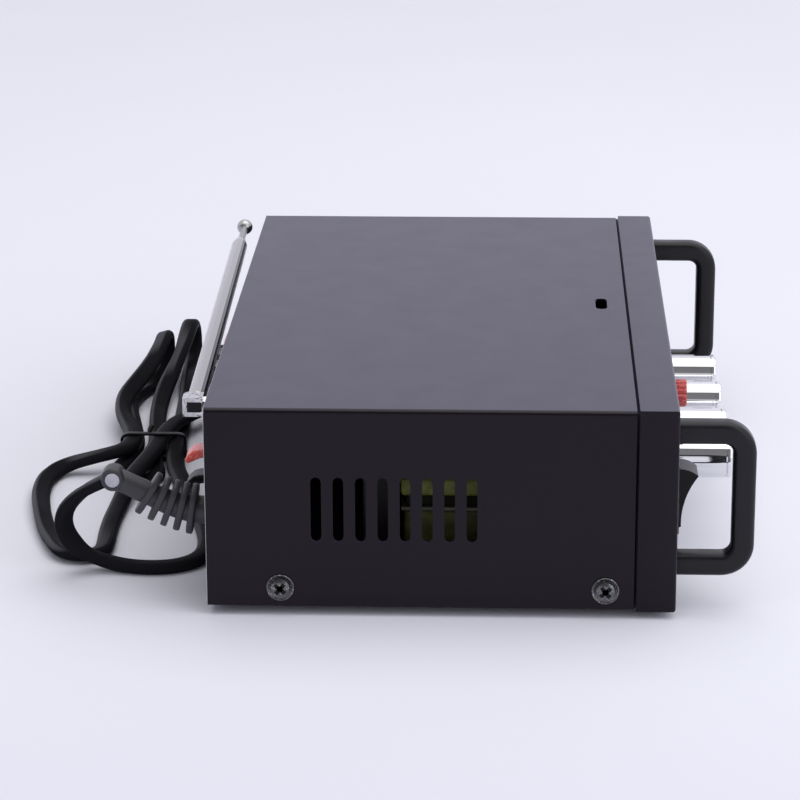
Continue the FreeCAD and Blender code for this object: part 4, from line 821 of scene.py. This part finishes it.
MAST_LEAN = math.radians(1.0)
mast_way = Vector((math.cos(MAST_LEAN), math.sin(MAST_LEAN), 0))
mast_foot = in_frame((11.2, 3.4, 62.3))
OUTER, MIDDLE, INNER, NECK = 0.00272, 0.0021, 0.00165, 0.00126
PLAY, ROLL_IN = 0.00003, 0.00005
OUTER_TUBE = [(0.0033, 0.0), (0.0033, OUTER - 0.0002), (0.0035, OUTER), (0.1806, OUTER),
              (0.1813, OUTER - 0.00006), (0.185, MIDDLE + 0.0001), (0.185, MIDDLE + PLAY),
              (0.006, MIDDLE + PLAY), (0.006, 0.0)]
MIDDLE_TUBE = [(0.0108, 0.0), (0.0108, MIDDLE), (0.1852, MIDDLE), (0.1858, MIDDLE - ROLL_IN),
               (0.1884, INNER + ROLL_IN), (0.1884, 0.0)]
INNER_TUBE = [(0.0122, 0.0), (0.0122, INNER), (0.1886, INNER), (0.1892, INNER - ROLL_IN), (0.1912, NECK),
              (0.1912, 0.0)]
ROD, BALL, BALL_AT = 0.0012, 0.00275, 0.2081
# The flattened eye's corners, from the foot
EYE = (Vector((-0.0017, -0.0009, -0.00145)), Vector((0.0036, 0.0024, 0.00145)))


def ball_rod():
    """The rod's profile with its neck and ball."""
    profile = [(0.0136, 0.0), (0.0136, ROD), (0.2036, ROD), (0.205, 0.001)]
    for step in range(16):
        turn = math.radians(22.0 + 158.0 * step / 16)
        profile.append((BALL_AT - BALL * math.cos(turn), BALL * math.sin(turn)))
    return profile + [(BALL_AT + BALL, 0.0)]


def mast_piece(name, profile, steps, degrees=30.0):
    """A turned piece of the mast, from its distance beyond the foot."""
    return lathe(name, mast_foot, mast_way, profile, steps, degrees)


eye = block("eye", mast_foot + EYE[0], mast_foot + EYE[1], 0.0005, 3)
outer_form = joined("outer_tube_form", mast_piece("outer_tube", OUTER_TUBE, 64), eye)
stands_for(outer_form, "antenna_outer_tube", "mast_plate")
stands_for(mast_piece("middle_tube", MIDDLE_TUBE, 56), "antenna_middle_tube", "mast_plate")
stands_for(mast_piece("inner_tube", INNER_TUBE, 48), "antenna_inner_tube", "mast_plate")
stands_for(mast_piece("tip_rod", ball_rod(), 48, 40.0), "antenna_tip_rod", "tip_plate")

# Tie: a flat wire band round the hank's waist, its two ends twisted together on top

# In millimetres; the outside is bottom, top, and the sides near to and far from the wall
TIE_X = 141.6
BAND_WIDE, BAND_THICK, BAND_OUTSIDE = 2.4, 0.85, (0.1, 10.0, 21.0, 43.7)
CORNER_Y, CORNER_Z = 3, 2
TWISTS, TWIST_REACH, TWIST_LONG, TWIST_Y, TWIST_Z = 2.75, 0.55, 6.6, 33.85, 9.85


def tie_outline(inset):
    """The band's loop, behind the wall and above the floor."""
    low, high, near, far = BAND_OUTSIDE
    low_z, high_z = low + inset + CORNER_Z, high - inset - CORNER_Z
    near_y, far_y = near + inset + CORNER_Y, far - inset - CORNER_Y
    loop = []
    for centre_y, centre_z, start in ((near_y, low_z, 180), (far_y, low_z, 270), (far_y, high_z, 0),
                                      (near_y, high_z, 90)):
        for step in range(7):
            turn = math.radians(start + 90 * step / 6)
            loop.append((centre_y + CORNER_Y * math.cos(turn), centre_z + CORNER_Z * math.sin(turn)))
    return loop


def tie_band():
    """The band as a tube of its own profile along the loop."""
    loop = tie_outline(0.45)
    rings = []
    for i, (behind, high) in enumerate(loop):
        before, after = loop[i - 1], loop[(i + 1) % len(loop)]
        way = Vector((0, after[0] - before[0], after[1] - before[1])).normalized()
        out = Vector((0, way.z, -way.y))
        spot = in_frame((TIE_X, behind, high))
        rings.append([spot + Vector((p / 1000, 0, 0)) + out * (q / 1000)
                      for p, q in soft_rectangle(BAND_WIDE, BAND_THICK, 0.4, 4)])
    return skin("band", rings, capped=False, degrees=50.0)


def twisted_ends():
    """Two strands of the band wound round each other, lying along the cord."""
    steps = 40
    strands = []
    for phase in (0.0, math.pi):
        line = []
        for step in range(steps + 1):
            t = step / steps
            turn = phase + t * TWISTS * math.tau
            reach = TWIST_REACH * min(1.0, 0.4 + t * 2)
            rise = reach * math.sin(turn) * 0.8 + 0.25 * math.sin(t * 3)
            behind = TWIST_Y + reach * math.cos(turn)
            line.append(in_frame((TIE_X + 0.6 + TWIST_LONG * t, behind, TWIST_Z + rise)))
        strands.append(sweep("strand", line, level_frames(line), squircle(0.0008, 0.0007, 2, 10)))
    return strands


stands_for(joined("cord_band", tie_band(), *twisted_ends()), "cord_tie")

# Plug: a moulded grip with finger hollows, its neck, and two flat pins

PLUG = in_frame(HANK[-1])
# Distance from the neck's end, height and width in millimetres, and squareness of the outline
GRIP = [(0.0, 5.4, 8.2, 2.4), (1.2, 5.8, 8.6, 2.6), (3.0, 6.6, 9.6, 2.6), (3.6, 6.2, 9.2, 2.6),
        (4.4, 6.2, 9.4, 2.6), (5.0, 7.4, 11.0, 2.8), (8.0, 9.6, 14.6, 3.2), (9.6, 11.6, 17.4, 3.6),
        (11.0, 12.6, 18.8, 4.0), (14.0, 12.2, 18.6, 4.0), (17.0, 11.4, 18.0, 4.0), (20.0, 11.4, 18.0, 4.0),
        (23.0, 12.2, 18.8, 4.2), (26.0, 13.2, 19.6, 4.6), (29.6, 13.7, 20.0, 5.0), (30.6, 13.5, 19.8, 5.0),
        (31.0, 12.8, 19.0, 5.0)]
PIN_APART, PIN_THICK, PIN_TALL, PIN_FROM, PIN_TO, HOLE_AT = 12.7, 1.5, 6.3, 30.5, 47.5, 43.5
PIN_HOLE = [(0, 0), (0, 0.0015), (0.004, 0.0015), (0.004, 0)]


def at_plug(along, side, high):
    """A place from the neck's end, in millimetres."""
    return PLUG + Vector((along / 1000, side / 1000, high / 1000))


def plug_pin(side):
    """A flat pin with a hole near its end."""
    pin = block("pin", at_plug(PIN_FROM, side - PIN_THICK / 2, -PIN_TALL / 2),
                at_plug(PIN_TO, side + PIN_THICK / 2, PIN_TALL / 2), 0.0004)
    return cut(pin, lathe("hole", at_plug(HOLE_AT, side - 2, 0), (0, 1, 0), PIN_HOLE, 24))


rings = [[at_plug(along, a, b - 0.05) for a, b in squircle(wide, tall, power, 40)]
         for along, tall, wide, power in GRIP]
stands_for(skin("plug_grip", rings), "mains_plug")
pins = dress(joined("plug_pins", *[plug_pin(side * PIN_APART / 2) for side in (-1, 1)]), "steel_bright")

# Prints of the face plate: dial marks, numbers, ON and OFF

PRINT_Y = FRONT_Y - 0.00001
TICK_FROM, TICK_SHORT, TICK_LONG, TICK_HALF = 0.0086, 0.0014, 0.0019, 0.00014
NUMBER_REACH, NUMBER_SIZE = 0.0121, 0.0021
WORD_SIZE, ON_HIGH, OFF_HIGH = 0.0026, 0.0441, 0.0186


def flat_text(words, size, x, z):
    """Words as thin raised letters on the face plate."""
    made = bpy.data.curves.new("Words", "FONT")
    made.body = words
    made.size = size
    made.align_x = made.align_y = "CENTER"
    made.extrude = 0.00002
    carrier = bpy.data.objects.new("Words", made)
    mesh = bpy.data.meshes.new_from_object(carrier)
    bpy.data.objects.remove(carrier)
    mesh.transform(Matrix.Translation((x, PRINT_Y, z)) @ Matrix.Rotation(math.radians(90), 4, "X"))
    item = bpy.data.objects.new("words", mesh)
    scene.collection.objects.link(item)
    return item


def dial_scale(name, x, z):
    """Eleven ticks and numbers: 0 to 10, or 5 to 0 to 5 for the balance."""
    marks = []
    for step in range(11):
        turn = math.radians(240 - 30 * step)
        long = TICK_SHORT if step % 5 else TICK_LONG
        tick = block("tick", (TICK_FROM, -0.00003, -TICK_HALF), (TICK_FROM + long, 0.00002, TICK_HALF))
        tick.data.transform(Matrix.Translation((x, PRINT_Y, z)) @ Matrix.Rotation(-turn, 4, "Y"))
        number = abs(step - 5) if name == "balance" else step
        marks += [tick, flat_text(str(number), NUMBER_SIZE, x + NUMBER_REACH * math.cos(turn),
                                  z + NUMBER_REACH * math.sin(turn))]
    return joined(name + "_scale", *marks)


for name, spot in knob_spots.items():
    dress(dial_scale(name, spot.x, spot.z), "print_white")
switch_x = middle_of("power_switch_housing")[0]
switch_words = [flat_text(words, WORD_SIZE, switch_x, z)
                for words, z in (("ON", ON_HIGH), ("OFF", OFF_HIGH))]
dress(joined("switch_words", *switch_words), "print_white")

# Display: four dark digits of seven segments behind the smoked window

# Place, width and height of each segment in its digit, in millimetres
SEGMENTS = ((0, 4, 3, 0.6), (0, 0, 3, 0.6), (0, -4, 3, 0.6), (-1.8, 2, 0.6, 3.2), (1.8, 2, 0.6, 3.2),
            (-1.8, -2, 0.6, 3.2), (1.8, -2, 0.6, 3.2))
DIGITS, DIGIT_STEP = 4, 0.0056
DIGIT_FRONT, DIGIT_BACK = FRONT_Y + 0.00342, FRONT_Y + 0.00349
display_x, _, display_z = middle_of("display_window")


def digit_bar(x, place_x, place_z, wide, tall):
    """One segment of the digit round x."""
    left, right = x + (place_x - wide / 2) / 1000, x + (place_x + wide / 2) / 1000
    low, high = display_z + (place_z - tall / 2) / 1000, display_z + (place_z + tall / 2) / 1000
    return block("bar", (left, DIGIT_FRONT, low), (right, DIGIT_BACK, high))


digit_places = [display_x + DIGIT_STEP * (index - (DIGITS - 1) / 2) for index in range(DIGITS)]
bars = [digit_bar(x, *segment) for x in digit_places for segment in SEGMENTS]
dress(joined("display_digits", *bars), "segment")

# Line-in sockets: a coloured ring in each mouth

MOUTH_RING = [(0.0083, 0.00175), (0.0083, 0.0032), (0.01, 0.0032), (0.0102, 0.0029), (0.0102, 0.0021),
              (0.01, 0.00175)]
SOCKETS_APART = 0.014
line_in_x, _, line_in_z = middle_of("line_in_sockets")
for name, side, finish in (("line_ring_red", -1, "red_plastic"), ("line_ring_white", 1, "white_plastic")):
    spot = (line_in_x + side * SOCKETS_APART / 2, REAR_Y, line_in_z)
    dress(lathe(name, spot, (0, 1, 0), MOUTH_RING, 40, hollow=True), finish)

dress(cord, "cord_vinyl")
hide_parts("cord_lead", "cord_hank")

# Floor: white paper, with painted shade that darkens it a little towards the viewer

FLOOR_HALF = 4
PAINTED_FALLOFF_FROM, PAINTED_FALLOFF_TO = -0.1, -0.28


def add_floor():
    made = bmesh.new()
    for x, y in ((-1, -1), (1, -1), (1, 1), (-1, 1)):
        made.verts.new((x * FLOOR_HALF, y * FLOOR_HALF, 0))
    made.faces.new(made.verts)
    floor = mesh_object("floor", made)
    paper = material("floor_paper", (0.798, 0.797, 0.868), 0.6, specular=0.15, vary=0.01, vary_size=3.0,
                     grain=0.05, grain_size=400.0)
    floor.data.materials.append(paper)
    tree = paper.node_tree
    base = tree.nodes["Principled BSDF"].inputs["Base Color"]
    place = shader_node(tree, "TexCoord").outputs["Object"]
    along = shader_node(tree, "SeparateXYZ", {"Vector": place}).outputs["X"]
    # Painted shade: the paper's colour darkens towards the viewer
    painted_falloff = carried(tree, along, PAINTED_FALLOFF_FROM, PAINTED_FALLOFF_TO, soft=True)
    tree.links.new(mixed(tree, painted_falloff, base.links[0].from_socket, (0.742, 0.736, 0.812)), base)


add_floor()

# Room: a studio that shows in the background and in reflections, and a softer light from all round

# The studio's shade over the object, from its right end (0) over the top to its left end (1)
STUDIO = ((0.0, (0.84, 0.83, 0.95)), (0.2, (0.86, 0.85, 0.96)), (0.3, (0.94, 0.94, 0.98)),
          (0.58, (0.94, 0.94, 0.98)), (0.64, (0.19, 0.19, 0.2)), (0.86, (0.2, 0.2, 0.21)),
          (0.92, (0.8, 0.8, 0.86)), (1.0, (0.84, 0.84, 0.9)))
# The soft light is stronger from the front and the left than from behind
ROOM_WAY, ROOM_LEVEL, ROOM_TINT = (-0.34, -0.43, 0.0), 0.665, {"Red": 1.0, "Green": 1.0, "Blue": 1.08}


def add_room():
    world = bpy.data.worlds.new("World")
    scene.world = world
    world.use_nodes = True
    tree = world.node_tree

    def result(operation, first, second):
        return shader_node(tree, "Math", {0: first, 1: second}, operation=operation,
                           use_clamp=operation == "ADD").outputs["Value"]

    way = shader_node(tree, "TexCoord").outputs["Generated"]
    split = shader_node(tree, "SeparateXYZ", {"Vector": way}).outputs
    over_angle = result("DIVIDE", result("ARCTAN2", split["Z"], split["X"]), math.pi)
    studio = shader_node(tree, "ValToRGB", {"Fac": over_angle})
    studio.color_ramp.interpolation = "EASE"
    stops = studio.color_ramp.elements
    for index, (at, shade) in enumerate(STUDIO):
        stop = stops[index] if index < 2 else stops.new(at)
        stop.position = at
        stop.color = (*shade, 1)
    bias = shader_node(tree, "VectorMath", {0: way, 1: ROOM_WAY}, operation="DOT_PRODUCT").outputs["Value"]
    level = result("ADD", bias, ROOM_LEVEL)
    channels = {name: result("MULTIPLY", level, part) for name, part in ROOM_TINT.items()}
    room = shader_node(tree, "CombineColor", channels).outputs["Color"]
    ray = shader_node(tree, "LightPath").outputs
    shown = result("ADD", ray["Is Camera Ray"], ray["Is Glossy Ray"])
    seen = result("ADD", shown, ray["Is Transmission Ray"])
    background = tree.nodes["Background"].inputs["Color"]
    tree.links.new(mixed(tree, seen, room, studio.outputs["Color"]), background)


def softbox(name, spot, aim, size, watts, tint):
    """A square lamp that looks at a point."""
    lamp = bpy.data.lights.new(name, "AREA")
    lamp.shape = "RECTANGLE"
    lamp.size = lamp.size_y = size
    lamp.energy = watts
    lamp.color = tint
    item = bpy.data.objects.new(name, lamp)
    item.location = spot
    item.rotation_euler = (Vector(aim) - Vector(spot)).to_track_quat("-Z", "Y").to_euler()
    scene.collection.objects.link(item)


add_room()
softbox("overhead", (0.18, -0.35, 1.5), (0.18, -0.35, 0), 1.8, 12.7, (1.0, 1.0, 0.95))
softbox("side_fill", (-0.9, -1.3, 0.9), (0, 0, 0), 1.2, 6.6, (0.96, 0.99, 1.06))

scene.view_settings.view_transform = "Standard"
